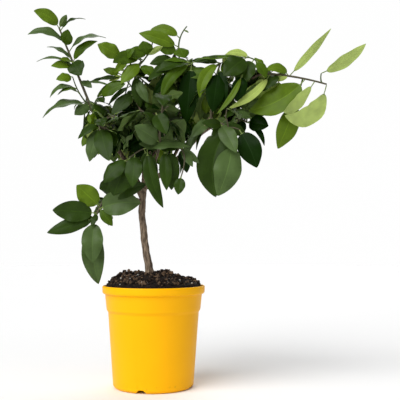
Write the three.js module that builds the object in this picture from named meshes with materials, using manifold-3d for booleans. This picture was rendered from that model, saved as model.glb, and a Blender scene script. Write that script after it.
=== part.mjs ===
// A young lemon tree in a plain yellow pot, in millimetres.
// The origin is the middle of the pot's underside, +Z is up and the front faces -Y.

import * as THREE from 'three';
import { mergeVertices } from 'three/addons/utils/BufferGeometryUtils.js';
import Module from 'manifold-3d';

const wasm = await Module();
wasm.setup();

// Clearances
const GAP = 0.3;
const TOUCH = 0.25;

// Pot
const POT_HEIGHT = 168;
const RIM_RADIUS = 86.2;
const LIP_HEIGHT = 12.5;
const COLLAR_RADIUS = 81.6;
const COLLAR_HEIGHT = 27;
const BODY_TOP_RADIUS = 76.2;
const BODY_FOOT_RADIUS = 67.4;
const WALL = 1.8;
const FLOOR_HEIGHT = 7;
const FLOOR_THICKNESS = 2;
const FOOT_RING = [57, 64.4];
const HUB_RADIUS = 14;
const POT_SEGMENTS = 30;

// Foot notches, cut through the foot ring
const NOTCH_COUNT = 4;
const NOTCH_FIRST_ANGLE = -14;
const NOTCH_HEIGHT = 5.5;
const NOTCH_FOOT_WIDTH = 17;
const NOTCH_TOP_WIDTH = 9;

// Soil
const SOIL_EDGE_HEIGHT = 164;
const SOIL_CROWN = 21;
const SOIL_PATCH_HEIGHT = 188;
const SOIL_PATCH_RADIUS = 14;
const SOIL_RINGS = [74, 62, 48, 35, 23, SOIL_PATCH_RADIUS];
// Clods: x, y, width, height
const CLODS = [
    [-50, -4, 17, 9],
    [-30, 30, 16, 5],
    [18, 4, 16, 7],
    [34, -16, 14, 3],
    [48, 6, 18, -4],
    [-12, -44, 18, 4],
    [62, 22, 12, 3],
    [10, 52, 20, 5],
];
const CRUMB = 1.6;

// Trunk: x, y, z and radius, up to the fork, cut flat at soil level
const TRUNK_FOOT = [-7, 0];
const TRUNK = [
    [-6.6, 0, 182, 11],
    [-7.6, 0, 194, 6.9],
    [-10.2, -1, 208, 6.3],
    [-13.2, -2, 226, 6],
    [-15.7, -2, 244, 5.8],
    [-17.6, -1, 262, 5.7],
    [-20.4, 0, 285, 5.6],
    [-20.8, 0, 293, 6.1],
    [-19.8, 1, 306, 5.4],
    [-18.4, 1, 322, 5],
    [-17, 0, 338, 4.7],
];
const TRUNK_SIDES = 8;
const TRUNK_STEPS = 14;

// Boughs: each leaves its parent at a share of the parent's length, passes by a point and ends at its tip
const BOUGHS = [
    { name: 'left_bough', parent: 'trunk', at: 0.92, by: [-60, 4, 396], tip: [-104, 0, 458], radii: [4.2, 2.5] },
    { name: 'low_left_bough', parent: 'trunk', at: 0.84, by: [-50, -12, 350], tip: [-79, -14, 317], radii: [3.2, 2] },
    { name: 'right_bough', parent: 'trunk', at: 0.97, by: [44, -10, 386], tip: [100, -14, 450], radii: [4.4, 3] },
    { name: 'centre_bough', parent: 'trunk', at: 1, by: [-10, 4, 392], tip: [-4, 2, 440], radii: [4.2, 3] },
    { name: 'front_bough', parent: 'trunk', at: 0.94, by: [-4, -30, 352], tip: [10, -58, 388], radii: [3.2, 2.2] },
    { name: 'back_bough', parent: 'trunk', at: 0.96, by: [-22, 42, 385], tip: [-28, 84, 428], radii: [3.6, 2.4] },
    { name: 'shoulder_bough', parent: 'left_bough', at: 0.5, by: [-76, -14, 416], tip: [-88, -22, 430], radii: [2.6, 1.9] },
    { name: 'back_left_bough', parent: 'left_bough', at: 0.4, by: [-68, 40, 408], tip: [-84, 62, 420], radii: [2.8, 2] },
    { name: 'top_left_bough', parent: 'centre_bough', at: 0.7, by: [-18, -2, 452], tip: [-30, -6, 480], radii: [2.6, 1.9] },
    { name: 'inner_bough', parent: 'centre_bough', at: 0.35, by: [2, 18, 400], tip: [10, 28, 420], radii: [2.6, 2] },
    { name: 'back_right_bough', parent: 'right_bough', at: 0.35, by: [42, 34, 408], tip: [62, 66, 438], radii: [3, 2.2] },
    { name: 'hanging_bough', parent: 'right_bough', at: 0.72, by: [92, -34, 438], tip: [112, -44, 436], radii: [2.6, 2] },
    { name: 'under_right_bough', parent: 'right_bough', at: 0.8, by: [110, 6, 444], tip: [134, 14, 452], radii: [2.4, 1.8] },
    { name: 'arm_bough', parent: 'right_bough', at: 0.86, by: [128, 12, 495], tip: [188, -10, 530], radii: [2.9, 2] },
];
const BOUGH_SIDES = 5;
const BOUGH_STEPS = 4;

// Ways that a leaf's upper side can face
const FACES = {
    sky: [0, 0, 1],
    half: [0, -1, 0.9],
    front: [0, -1, 0.15],
    under: [0, 0.35, 1],
    away: [0, 1, 0.75],
    left: [-1, -0.4, 0.3],
    right: [1, -0.4, 0.3],
};

// Masses of foliage. Each grows from its bough's tip on one stem that passes by a point to its tip.
// centre and reach give the space it keeps to, and twigs of the seeded rule fill that space with
// leaves of the stated length that hang by the stated amount. shown lists the leaves that stand
// clear of the rest, for each shoot: its place on the stem, its path, and a row for each leaf with
// its place on the shoot, the way to its tip, the way it faces, its arch and its width over length.
const MASSES = [
    {
        name: 'upper_left_leaves', bough: 'left_bough', seed: 11,
        by: [-131, -5, 527], tip: [-164, -4, 608],
        centre: [-104, 14, 448], reach: [50, 56, 42], twigs: 3, leaf: 50, hang: 0.5,
        shown: [
            { leaves: [
                [1, -40, -14, 25, 'half', 0.24, 0.5],
                [1, 15, -12, 18, 'away', 0.1, 0.45],
                [0.955, 40, 10, 22, 'sky', 0.18, 0.3],
                [0.82, -62, -6, 19, 'sky', 0.26, 0.34],
                [0.81, 6, -30, 24, 'front', 0.05, 0.62],
                [0.744, 60, -4, 21, 'sky', 0.3, 0.34],
                [0.67, 41, -14, 28, 'front', 0.1, 0.42],
                [0.66, -40, -4, 19, 'sky', 0.16, 0.28],
                [0.63, -19, -16, 2, 'half', 0.1, 0.5],
                [0.54, -66, -8, 14, 'sky', 0.22, 0.26],
                [0.56, -34, -14, -12, 'half', 0.1, 0.45],
                [0.6, 13, -34, -24, 'front', 0.05, 0.62],
                [0.355, 15, -18, -8, 'half', 0.1, 0.5],
                [0.15, -28, -16, -8, 'front', 0.1, 0.52],
            ] },
            { at: 0.1, by: [-126, -8, 492], tip: [-139, -10, 522], leaves: [
                [1, -27, -16, -9, 'front', 0.12, 0.55],
                [0.62, -37, -5, -16, 'sky', 0.3, 0.36],
                [0.45, -34, -10, -2, 'half', 0.4, 0.4],
                [0.12, -70, -10, -19, 'under', 0.32, 0.34],
            ] },
            { at: 0.1, by: [-100, -4, 482], tip: [-94, -5, 490], leaves: [
                [1, 53, -20, 26, 'half', 0.08, 0.46],
                [0.6, 15, -12, -7, 'half', 0.1, 0.5],
            ] },
        ],
    },
    {
        name: 'left_shoulder_leaves', bough: 'shoulder_bough', seed: 12,
        by: [-92, -26, 438], tip: [-90, -30, 446],
        centre: [-74, -32, 430], reach: [50, 56, 54], twigs: 4, leaf: 60, hang: 0.6,
        shown: [
            { leaves: [
                [0.6, -34, -12, -42, 'half', 0.1, 0.36],
                [0.3, -14, -24, -56, 'front', 0.1, 0.44],
                [0.3, 22, -34, -58, 'front', 0.06, 0.5],
            ] },
        ],
    },
    {
        name: 'low_left_leaves', bough: 'low_left_bough', seed: 13,
        by: [-90, -15, 300], tip: [-98, -17, 278],
        centre: [-92, 10, 306], reach: [42, 44, 40], twigs: 1, leaf: 44, hang: 0.5,
        shown: [
            { leaves: [
                [0.5, -34, -10, 44, 'front', 0.06, 0.78],
                [0.65, -72, -10, 3, 'front', 0.06, 0.58],
                [0.95, -84, -4, -27, 'front', 0.05, 0.32],
                [0.9, -14, -22, -22, 'away', 0.08, 0.6],
                [1, 0, -14, -71, 'front', 0.05, 0.56],
                [0.95, 3, 6, -109, 'front', 0.04, 0.38],
                [0.6, 70, -16, 8, 'front', 0.12, 0.58],
                [0.12, 52, -34, 16, 'front', 0.1, 0.5],
                [0.06, 14, -40, 34, 'front', 0.1, 0.5],
                [0.55, 14, -4, -34, 'front', 0.05, 0.42],
            ] },
        ],
    },
    {
        name: 'top_left_leaves', bough: 'top_left_bough', seed: 14,
        by: [-34, -8, 512], tip: [-22, -10, 550],
        centre: [-36, 8, 508], reach: [56, 64, 56], twigs: 5, leaf: 64, hang: 0.5,
        shown: [
            { leaves: [
                [1, -48, -14, -8, 'half', 0.1, 0.6],
                [0.97, -34, -16, -42, 'half', 0.1, 0.55],
                [0.35, -26, -10, -48, 'half', 0.08, 0.4],
                [0.9, 34, -10, -26, 'half', 0.1, 0.5],
            ] },
            { at: 0.9, by: [-10, -11, 562], tip: [-3, -12, 581], leaves: [
                [0.5, -30, -12, 19, 'front', 0.1, 0.66],
                [0.4, 26, -10, 6, 'away', 0.1, 0.34],
                [0.2, -24, -14, 4, 'half', 0.1, 0.5],
            ] },
            { at: 0.6, by: [-40, -12, 544], tip: [-54, -14, 553], leaves: [
                [1, -41, -10, 20, 'half', 0.08, 0.7],
                [0.9, 34, -12, 16, 'half', 0.14, 0.6],
                [0.7, -20, -14, -30, 'front', 0.1, 0.56],
            ] },
            { at: 0.3, by: [-46, 12, 517], tip: [-60, 18, 533], leaves: [
                [1, -28, 2, 2, 'front', 0.1, 0.5],
                [0.8, -40, 12, -16, 'half', 0.1, 0.36],
                [0.3, -36, 14, -6, 'half', 0.1, 0.4],
                [0.1, -17, 2, -27, 'half', 0.06, 0.4],
            ] },
        ],
    },
    {
        name: 'top_leaves', bough: 'centre_bough', seed: 15,
        by: [16, -2, 510], tip: [42, -4, 575],
        centre: [32, 18, 522], reach: [56, 60, 54], twigs: 4, leaf: 62, hang: 0.5,
        shown: [
            { leaves: [
                [1, -70, -12, 24, 'front', 0.1, 0.5],
                [0.97, 14, -16, -24, 'front', 0.06, 0.78],
                [0.93, -34, -8, -8, 'half', 0.08, 0.52],
                [0.85, -38, -10, -12, 'away', 0.1, 0.34],
            ] },
            { at: 0.99, by: [45, -5, 594], tip: [56, -6, 611], leaves: [
                [0.45, -42, 4, 10, 'half', 0.24, 0.44],
                [0.8, 8, -4, -6, 'half', 0.05, 0.3],
            ] },
            { at: 0.75, by: [46, -10, 548], tip: [66, -14, 544], leaves: [
                [1, -50, -8, -46, 'half', 0.2, 0.28],
                [0.9, -58, -14, -20, 'half', 0.1, 0.46],
                [0.95, 36, -12, 14, 'half', 0.14, 0.46],
                [0.3, -48, -22, -36, 'half', 0.08, 0.46],
            ] },
        ],
    },
    {
        name: 'right_inner_leaves', bough: 'right_bough', seed: 16,
        by: [102, -15, 500], tip: [113, -16, 545],
        centre: [92, -6, 496], reach: [66, 60, 66], twigs: 6, leaf: 66, hang: 0.5,
        shown: [
            { leaves: [
                [1, -33, -14, -50, 'half', 0.18, 0.42],
                [0.85, -15, -16, -66, 'front', 0.06, 0.48],
                [0.98, 30, 22, 27, 'front', 0.1, 0.8],
                [0.99, -34, 20, 22, 'front', 0.1, 0.7],
                [0.8, 46, 26, 22, 'front', 0.1, 0.6],
                [0.72, -64, 16, 22, 'front', 0.1, 0.56],
            ] },
            { at: 0.7, by: [132, -22, 522], tip: [150, -26, 523], leaves: [
                [1, -12, -8, -48, 'front', 0.06, 0.52],
                [0.95, -40, -12, -76, 'right', 0.06, 0.28],
            ] },
        ],
    },
    {
        name: 'arm_leaves', bough: 'arm_bough', seed: 17,
        by: [240, -14, 521], tip: [288, -16, 505],
        centre: [170, 4, 508], reach: [60, 54, 50], twigs: 4, leaf: 62, hang: 0.6,
        shown: [
            { leaves: [
                [1, -74, -12, -60, 'away', 0.04, 0.46, 0.36],
                [0.79, -50, -16, -54, 'away', 0.06, 0.34],
                [0.6, -86, -22, -56, 'front', 0.08, 0.52],
                [0.41, 70, -12, 73, 'away', 0.06, 0.24, -0.05],
                [0.4, -40, -8, 4, 'half', 0.24, 0.42],
                [0.42, -30, 10, -16, 'half', 0.1, 0.5],
                [0.3, -44, 4, -30, 'half', 0.1, 0.5],
                [0.12, -66, -18, -60, 'half', 0.06, 0.28],
                [0.08, -14, -6, 20, 'half', 0.06, 0.44],
            ] },
            { at: 0.92, by: [283, -16, 518], tip: [284, -16, 527], leaves: [
                [1, 74, -8, 48, 'away', 0.05, 0.26, -0.07],
            ] },
            { at: 0.62, by: [249, -2, 500], tip: [247, 4, 482], leaves: [
                [1, -38, -8, -84, 'front', 0.06, 0.42],
            ] },
            { at: 0.14, by: [174, -17, 548], tip: [157, -19, 553], leaves: [
                [1, -42, -22, -24, 'half', 0.1, 0.78],
                [0.9, -88, -4, -4, 'sky', 0.12, 0.3],
                [0.8, -32, -8, 8, 'away', 0.16, 0.44],
                [0.5, 26, -10, -18, 'half', 0.1, 0.6],
            ] },
        ],
    },
    {
        name: 'hanging_leaves', bough: 'hanging_bough', seed: 18,
        by: [123, -51, 426], tip: [130, -56, 404],
        centre: [104, -52, 432], reach: [52, 54, 54], twigs: 2, leaf: 58, hang: 0.9,
        shown: [
            { leaves: [
                [0.5, -26, -10, -112, 'front', 0.05, 0.5, 0.09],
                [1, -24, -20, -90, 'front', 0.05, 0.48, -0.1],
            ] },
            { at: 0.4, by: [134, -52, 428], tip: [144, -54, 424], leaves: [
                [1, 25, -10, -62, 'front', 0.06, 0.48],
            ] },
        ],
    },
    {
        name: 'front_leaves', bough: 'front_bough', seed: 19,
        by: [14, -80, 412], tip: [8, -92, 446],
        centre: [2, -84, 440], reach: [76, 62, 70], twigs: 6, leaf: 68, hang: 0.7,
        shown: [
            { leaves: [
                [0.1, 62, -20, 6, 'half', 0.08, 0.5],
                [0.3, -40, -24, 28, 'half', 0.08, 0.6],
            ] },
            { at: 0.12, by: [-12, -66, 392], tip: [-38, -58, 376], leaves: [
                [1, -42, -10, -36, 'half', 0.12, 0.56],
                [0.8, -2, -16, -56, 'front', 0.08, 0.5],
                [0.4, 21, -14, -98, 'front', 0.05, 0.26],
                [0.5, 16, 6, -58, 'front', 0.05, 0.44],
                [0.95, -28, 8, -62, 'front', 0.08, 0.6],
            ] },
            { at: 0.15, by: [28, -66, 392], tip: [50, -62, 396], leaves: [
                [0.3, 4, -8, -68, 'front', 0.05, 0.3],
                [0.6, -4, 8, -56, 'front', 0.05, 0.5],
                [0.95, 4, 4, -52, 'front', 0.05, 0.44],
            ] },
            { at: 0.18, by: [50, -72, 388], tip: [46, -74, 340], leaves: [
                [0.95, 1, -4, -24, 'front', 0.05, 0.8],
            ] },
        ],
    },
    {
        name: 'inner_leaves', bough: 'inner_bough', seed: 20,
        by: [8, 32, 432], tip: [4, 30, 452],
        centre: [-2, 14, 440], reach: [78, 54, 84], twigs: 7, leaf: 66, hang: 0.6,
        shown: [],
    },
    {
        name: 'back_leaves', bough: 'back_bough', seed: 21,
        by: [-28, 104, 446], tip: [-22, 118, 468],
        centre: [-24, 118, 450], reach: [80, 72, 80], twigs: 7, leaf: 70, hang: 0.6,
        shown: [],
    },
    {
        name: 'back_left_leaves', bough: 'back_left_bough', seed: 22,
        by: [-92, 74, 430], tip: [-98, 84, 446],
        centre: [-100, 78, 436], reach: [62, 64, 66], twigs: 5, leaf: 64, hang: 0.6,
        shown: [],
    },
    {
        name: 'back_right_leaves', bough: 'back_right_bough', seed: 23,
        by: [72, 84, 458], tip: [84, 96, 484],
        centre: [86, 90, 476], reach: [78, 70, 76], twigs: 7, leaf: 68, hang: 0.6,
        shown: [],
    },
    {
        name: 'under_right_leaves', bough: 'under_right_bough', seed: 24,
        by: [148, 16, 454], tip: [160, 18, 448],
        centre: [150, 14, 452], reach: [54, 54, 44], twigs: 3, leaf: 56, hang: 0.7,
        shown: [
            { leaves: [
                [1, 34, -14, -12, 'front', 0.1, 0.66],
                [0.9, 22, -10, -36, 'right', 0.1, 0.32],
                [1, 28, 6, 4, 'sky', 0.1, 0.26],
                [0.6, -2, -16, -30, 'front', 0.1, 0.5],
            ] },
        ],
    },
];

// Twigs and leaves
const TWIG_SIDES = 3;
const TWIG_STEPS = 2;
const STEM_SIDES = 4;
const STEM_STEPS = 4;
const TWIG_RADIUS = 1.5;
const TWIG_TIP_RADIUS = 1;
const TWIG_FIRST = 0.2;
const TWIG_SPREAD = 0.5;
const TWIG_RISE = 0.16;
const LEAVES_PER_TWIG = 5;
const LEAF_SPAN = [0.3, 0.94];
const LEAF_TURN = 137.5;
const LEAF_SPLAY = 0.9;
const LEAF_SHORTER = [1, 0.84, 0.7];
const LEAF_CROWDING = 0.3;
const LEAF_THICKNESS = 0.016;
const LEAF_LEAST_THICKNESS = 1.1;
const PETIOLE_RADIUS = 0.55;
const PETIOLE_DEPTH = 0.8;
const PETIOLE_SHARE = 0.12;
const SHOWN_STATIONS = [0.16, 0.42, 0.74];
const FILL_STATIONS = [0.3, 0.66];
const SMOOTHING = 0.3;

// Colours, roughness
const FINISHES = {
    pot: [0xfabe14, 0.5],
    soil: [0x2a1f18, 1],
    bark: [0x7d6c58, 0.9],
    leaves: [0x4f7330, 0.55],
};

const UP = new THREE.Vector3(0, 0, 1);

function vector(values) {
    return new THREE.Vector3(...values);
}

// Repeatable random numbers from 0 to 1
function seededRandom(seed) {
    let state = seed >>> 0;
    return () => {
        state = (state + 0x6d2b79f5) >>> 0;
        let mixed = Math.imul(state ^ (state >>> 15), 1 | state);
        mixed = (mixed + Math.imul(mixed ^ (mixed >>> 7), 61 | mixed)) ^ mixed;
        return ((mixed ^ (mixed >>> 14)) >>> 0) / 4294967296;
    };
}

// A closed geometry through rings of points, where a ring of one point is an apex
function loft(rings) {
    const positions = rings.flat().flatMap((point) => [point.x, point.y, point.z]);
    const triangles = [];
    let start = 0;
    for (let level = 0; level < rings.length - 1; level += 1) {
        const count = rings[level].length;
        const next = rings[level + 1].length;
        const upper = start + count;
        const sides = Math.max(count, next);
        for (let side = 0; side < sides; side += 1) {
            const a = start + (side % count);
            const b = start + ((side + 1) % count);
            const c = upper + ((side + 1) % next);
            const d = upper + (side % next);
            if (count > 1) triangles.push(a, b, c);
            if (next > 1) triangles.push(a, c, d);
        }
        start = upper;
    }
    const last = rings[rings.length - 1].length;
    for (let side = 1; side < rings[0].length - 1; side += 1) triangles.push(0, side + 1, side);
    for (let side = 1; side < last - 1; side += 1) triangles.push(start, start + side, start + side + 1);
    const geometry = new THREE.BufferGeometry();
    geometry.setAttribute('position', new THREE.Float32BufferAttribute(positions, 3));
    geometry.setIndex(triangles);
    return geometry;
}

// A solid from a closed geometry, with its faces pointing out
function solidOf(geometry) {
    geometry.deleteAttribute('normal');
    geometry.deleteAttribute('uv');
    const merged = mergeVertices(geometry, 1e-4);
    const index = merged.index.array;
    const triangles = [];
    for (let corner = 0; corner < index.length; corner += 3) {
        const [a, b, c] = index.slice(corner, corner + 3);
        if (a !== b && b !== c && c !== a) triangles.push(a, b, c);
    }
    const make = (order) => new wasm.Manifold(new wasm.Mesh({
        numProp: 3,
        vertProperties: new Float32Array(merged.attributes.position.array),
        triVerts: new Uint32Array(order),
    }));
    const solid = make(triangles);
    return solid.volume() > 0 ? solid : make(triangles.reverse());
}

// The largest piece of a solid, without loose scraps and sealed hollows
function largestPiece(solid) {
    const pieces = solid.decompose();
    return pieces.reduce((best, piece) => (piece.volume() > best.volume() ? piece : best));
}

function meshOf(name, solid, finish) {
    const { vertProperties, triVerts } = solid.getMesh();
    const geometry = new THREE.BufferGeometry();
    geometry.setAttribute('position', new THREE.BufferAttribute(vertProperties, 3));
    geometry.setIndex(new THREE.BufferAttribute(triVerts, 1));
    geometry.computeVertexNormals();
    const [color, roughness] = finish;
    const material = new THREE.MeshStandardMaterial({ color, roughness, metalness: 0 });
    const mesh = new THREE.Mesh(geometry, material);
    mesh.name = name;
    return mesh;
}

// Points at a radius and height round an axis, in step with the pot's facets
function circle(radius, height, centre = [0, 0]) {
    return Array.from({ length: POT_SEGMENTS }, (_, step) => {
        const angle = (step / POT_SEGMENTS) * 2 * Math.PI;
        return new THREE.Vector3(
            centre[0] + radius * Math.sin(angle),
            centre[1] - radius * Math.cos(angle),
            height,
        );
    });
}

function potSolid() {
    const lipFoot = POT_HEIGHT - LIP_HEIGHT;
    const collarFoot = lipFoot - COLLAR_HEIGHT;
    const floorTop = FLOOR_HEIGHT + FLOOR_THICKNESS;
    const profile = [
        [0, 0],
        [HUB_RADIUS, 0],
        [HUB_RADIUS + 1, FLOOR_HEIGHT],
        [FOOT_RING[0] - 1.5, FLOOR_HEIGHT],
        [FOOT_RING[0], 0],
        [FOOT_RING[1], 0],
        [BODY_FOOT_RADIUS, 3.5],
        [BODY_TOP_RADIUS, collarFoot - 4.5],
        [COLLAR_RADIUS - 2.7, collarFoot],
        [COLLAR_RADIUS, lipFoot - 1.5],
        [RIM_RADIUS - 1, lipFoot],
        [RIM_RADIUS, lipFoot + 2.5],
        [RIM_RADIUS, POT_HEIGHT - 1.5],
        [RIM_RADIUS - 1, POT_HEIGHT],
        [RIM_RADIUS - 2.4, POT_HEIGHT],
        [RIM_RADIUS - 3.2, POT_HEIGHT - 2],
        [COLLAR_RADIUS - WALL, lipFoot - 1.5],
        [COLLAR_RADIUS - 2.7 - WALL, collarFoot - 0.5],
        [BODY_TOP_RADIUS - WALL, collarFoot - 5],
        [BODY_FOOT_RADIUS - WALL + 0.4, floorTop + 1.5],
        [BODY_FOOT_RADIUS - WALL - 1.2, floorTop],
        [0, floorTop],
    ].map(([radius, height]) => new THREE.Vector2(radius, height));
    const lathe = new THREE.LatheGeometry(profile, POT_SEGMENTS);
    lathe.rotateX(Math.PI / 2);
    let pot = solidOf(lathe);
    for (let notch = 0; notch < NOTCH_COUNT; notch += 1) {
        pot = pot.subtract(notchCutter(NOTCH_FIRST_ANGLE + (360 / NOTCH_COUNT) * notch));
    }
    return pot;
}

// A wedge across the foot ring, at an angle from the front
function notchCutter(degrees) {
    const shape = new THREE.Shape([
        new THREE.Vector2(-NOTCH_FOOT_WIDTH / 2 - 1, -1),
        new THREE.Vector2(NOTCH_FOOT_WIDTH / 2 + 1, -1),
        new THREE.Vector2(NOTCH_TOP_WIDTH / 2, NOTCH_HEIGHT),
        new THREE.Vector2(-NOTCH_TOP_WIDTH / 2, NOTCH_HEIGHT),
    ]);
    const depth = BODY_FOOT_RADIUS - FOOT_RING[0] + 8;
    const cutter = new THREE.ExtrudeGeometry(shape, { depth, bevelEnabled: false });
    cutter.rotateX(Math.PI / 2);
    cutter.translate(0, -FOOT_RING[0] + 4, 0);
    cutter.rotateZ(THREE.MathUtils.degToRad(degrees));
    return solidOf(cutter);
}

// Height of the mounded soil
function soilHeight(x, y, random) {
    const share = Math.min(1, Math.hypot(x, y) / (COLLAR_RADIUS + 2));
    let height = SOIL_EDGE_HEIGHT + 2 + SOIL_CROWN * (1 - share * share) ** 0.7;
    for (const [clodX, clodY, width, rise] of CLODS) {
        const distance = Math.hypot(x - clodX, y - clodY) / width;
        height += rise * Math.exp(-distance * distance);
    }
    return height + CRUMB * (random() - 0.5) * 2;
}

function soilSolid() {
    const random = seededRandom(5);
    const lipFoot = POT_HEIGHT - LIP_HEIGHT;
    const collarFoot = lipFoot - COLLAR_HEIGHT;
    const floorTop = FLOOR_HEIGHT + FLOOR_THICKNESS;
    const clear = WALL + GAP + 0.2;
    const edge = COLLAR_RADIUS + 0.2;
    const rings = [
        circle(BODY_FOOT_RADIUS - clear - 1.4, floorTop + GAP),
        circle(BODY_FOOT_RADIUS - clear, floorTop + 2),
        circle(BODY_TOP_RADIUS - clear, collarFoot - 4.6),
        circle(COLLAR_RADIUS - 2.7 - clear, collarFoot),
        circle(COLLAR_RADIUS - clear, lipFoot - 1.3),
        circle(edge, SOIL_EDGE_HEIGHT),
    ];
    for (const radius of SOIL_RINGS) {
        const shift = 1 - radius / edge;
        const ring = circle(radius, 0, TRUNK_FOOT.map((value) => value * shift));
        for (const point of ring) point.z = soilHeight(point.x, point.y, random);
        if (radius === SOIL_PATCH_RADIUS) ring.forEach((point) => { point.z = SOIL_PATCH_HEIGHT; });
        rings.push(ring);
    }
    rings.push([new THREE.Vector3(...TRUNK_FOOT, SOIL_PATCH_HEIGHT)]);
    return solidOf(loft(rings));
}

// A curve from one point by another to a third
function bend(start, by, tip) {
    const control = by.clone().multiplyScalar(2).sub(start.clone().add(tip).multiplyScalar(0.5));
    return new THREE.QuadraticBezierCurve3(start, control, tip);
}

// A tapering limb along a curve, grown on all sides by a clearance
function limbSolid(curve, radiusAt, sides, steps, clearance = 0) {
    const rings = [];
    let across = null;
    for (let step = 0; step <= steps; step += 1) {
        const share = step / steps;
        const along = curve.getTangent(share);
        if (!across) across = new THREE.Vector3(0, 1, 0).cross(along).normalize();
        across = across.sub(along.clone().multiplyScalar(across.dot(along))).normalize();
        const beside = along.clone().cross(across);
        const centre = curve.getPoint(share);
        if (step === 0) centre.sub(along.clone().multiplyScalar(clearance));
        if (step === steps) centre.add(along.clone().multiplyScalar(clearance));
        const radius = radiusAt(share) + clearance;
        rings.push(Array.from({ length: sides }, (_, side) => {
            const angle = (side / sides) * 2 * Math.PI;
            return centre.clone()
                .add(across.clone().multiplyScalar(radius * Math.cos(angle)))
                .add(beside.clone().multiplyScalar(radius * Math.sin(angle)));
        }));
    }
    return solidOf(loft(rings));
}

function taper([first, last]) {
    return (share) => first + (last - first) * share;
}

function trunkRadius(share) {
    const place = share * (TRUNK.length - 1);
    const below = Math.min(Math.floor(place), TRUNK.length - 2);
    const [first, last] = [TRUNK[below][3], TRUNK[below + 1][3]];
    return first + (last - first) * (place - below);
}

// The trunk and the boughs, each with its curve, its solid and the space that others keep clear of
function growLimbs() {
    const limbs = new Map();
    const trunkCurve = new THREE.CatmullRomCurve3(
        TRUNK.map((row) => vector(row.slice(0, 3))),
        false,
        'catmullrom',
        0.5,
    );
    const addLimb = (name, curve, radiusAt, sides, steps) => {
        let solid = limbSolid(curve, radiusAt, sides, steps);
        for (const other of limbs.values()) solid = solid.subtract(other.space);
        solid = largestPiece(solid.trimByPlane([0, 0, 1], SOIL_PATCH_HEIGHT + GAP));
        limbs.set(name, { curve, solid, space: limbSolid(curve, radiusAt, sides, steps, GAP), radiusAt });
    };
    addLimb('trunk', trunkCurve, trunkRadius, TRUNK_SIDES, TRUNK_STEPS);
    for (const { name, parent, at, by, tip, radii } of BOUGHS) {
        const curve = bend(limbs.get(parent).curve.getPoint(at), vector(by), vector(tip));
        addLimb(name, curve, taper(radii), BOUGH_SIDES, BOUGH_STEPS);
    }
    return limbs;
}

// Half-width of a blade over its greatest, from its foot at 0 to its point at 1
function bladeOutline(share) {
    return Math.sin(Math.PI * share ** 0.85) ** (0.6 + 0.4 * share);
}

// A thin closed leaf: a stalk that opens into a blade, bent along its length
function leafSolid(leaf, stations) {
    const length = leaf.way.length();
    const along = leaf.way.clone().normalize();
    const up = leaf.face.clone().sub(along.clone().multiplyScalar(leaf.face.dot(along))).normalize();
    const side = along.clone().cross(up);
    const thickness = Math.max(LEAF_LEAST_THICKNESS, LEAF_THICKNESS * length);
    const ringAt = (share, half, depth) => {
        const bow = 4 * share * (1 - share);
        const slope = 4 * (1 - 2 * share);
        const centre = leaf.base.clone()
            .add(along.clone().multiplyScalar(length * share))
            .add(up.clone().multiplyScalar(length * leaf.arch * bow))
            .add(side.clone().multiplyScalar(length * leaf.sway * bow));
        if (half === 0) return [centre];
        const tangent = along.clone()
            .add(up.clone().multiplyScalar(leaf.arch * slope))
            .add(side.clone().multiplyScalar(leaf.sway * slope))
            .normalize();
        const normal = up.clone().sub(tangent.clone().multiplyScalar(up.dot(tangent))).normalize();
        const edge = tangent.clone().cross(normal);
        return [
            centre.clone().sub(edge.clone().multiplyScalar(half)),
            centre.clone().add(edge.clone().multiplyScalar(half)),
            centre.clone().sub(normal.clone().multiplyScalar(depth)),
        ];
    };
    const blade = stations.map((share) => {
        const place = (share - PETIOLE_SHARE) / (1 - PETIOLE_SHARE);
        const half = Math.max(PETIOLE_RADIUS, (leaf.wide * length * bladeOutline(Math.max(place, 0))) / 2);
        return ringAt(share, half, thickness);
    });
    return solidOf(loft([ringAt(0, PETIOLE_RADIUS, PETIOLE_DEPTH), ...blade, ringAt(1, 0, 0)]));
}

// The twigs and leaves of a mass: first the shown ones, then those of the seeded rule
function planMass(mass, start) {
    const stem = bend(start, vector(mass.by), vector(mass.tip));
    const shoots = mass.shown.map(({ at, by, tip, leaves }) => {
        const curve = by ? bend(stem.getPoint(at), vector(by), vector(tip)) : stem;
        const rows = leaves.map(([place, x, y, z, face, arch, wide, sway = 0]) => ({
            base: curve.getPoint(place),
            way: new THREE.Vector3(x, y, z),
            face: vector(FACES[face]),
            arch,
            wide,
            sway,
            stations: SHOWN_STATIONS,
        }));
        return { curve: by ? curve : null, leaves: rows };
    });
    return { stem, shoots, fill: fillTwigs(mass, stem) };
}

// Twigs spread evenly round the middle of a mass's space, with leaves in turn along each
function fillTwigs(mass, stem) {
    const random = seededRandom(mass.seed);
    const centre = vector(mass.centre);
    const reach = vector(mass.reach);
    const golden = Math.PI * (3 - Math.sqrt(5));
    const middles = [];
    const twigs = [];
    for (let twig = 0; twig < mass.twigs; twig += 1) {
        const rise = 1 - (2 * (twig + 0.5)) / mass.twigs;
        const around = Math.sqrt(1 - rise * rise);
        const heading = golden * twig + mass.seed;
        const outward = new THREE.Vector3(around * Math.cos(heading), around * Math.sin(heading), rise);
        const spread = TWIG_SPREAD * (0.8 + 0.4 * random());
        const tip = centre.clone().add(outward.multiply(reach).multiplyScalar(spread));
        const start = stem.getPoint(TWIG_FIRST + (1 - TWIG_FIRST) * random());
        const by = start.clone().add(tip).multiplyScalar(0.5);
        by.z += TWIG_RISE * start.distanceTo(tip);
        const curve = bend(start, by, tip);
        const leaves = [];
        for (let count = 0; count < LEAVES_PER_TWIG; count += 1) {
            const share = LEAF_SPAN[0] + ((LEAF_SPAN[1] - LEAF_SPAN[0]) * (count + 1)) / LEAVES_PER_TWIG;
            const leaf = ruleLeaf(mass, curve, share, count, twig, random);
            const fitted = fitLeaf(leaf, centre, reach, middles);
            if (fitted) leaves.push(fitted);
        }
        twigs.push({ curve, leaves });
    }
    return twigs;
}

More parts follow.
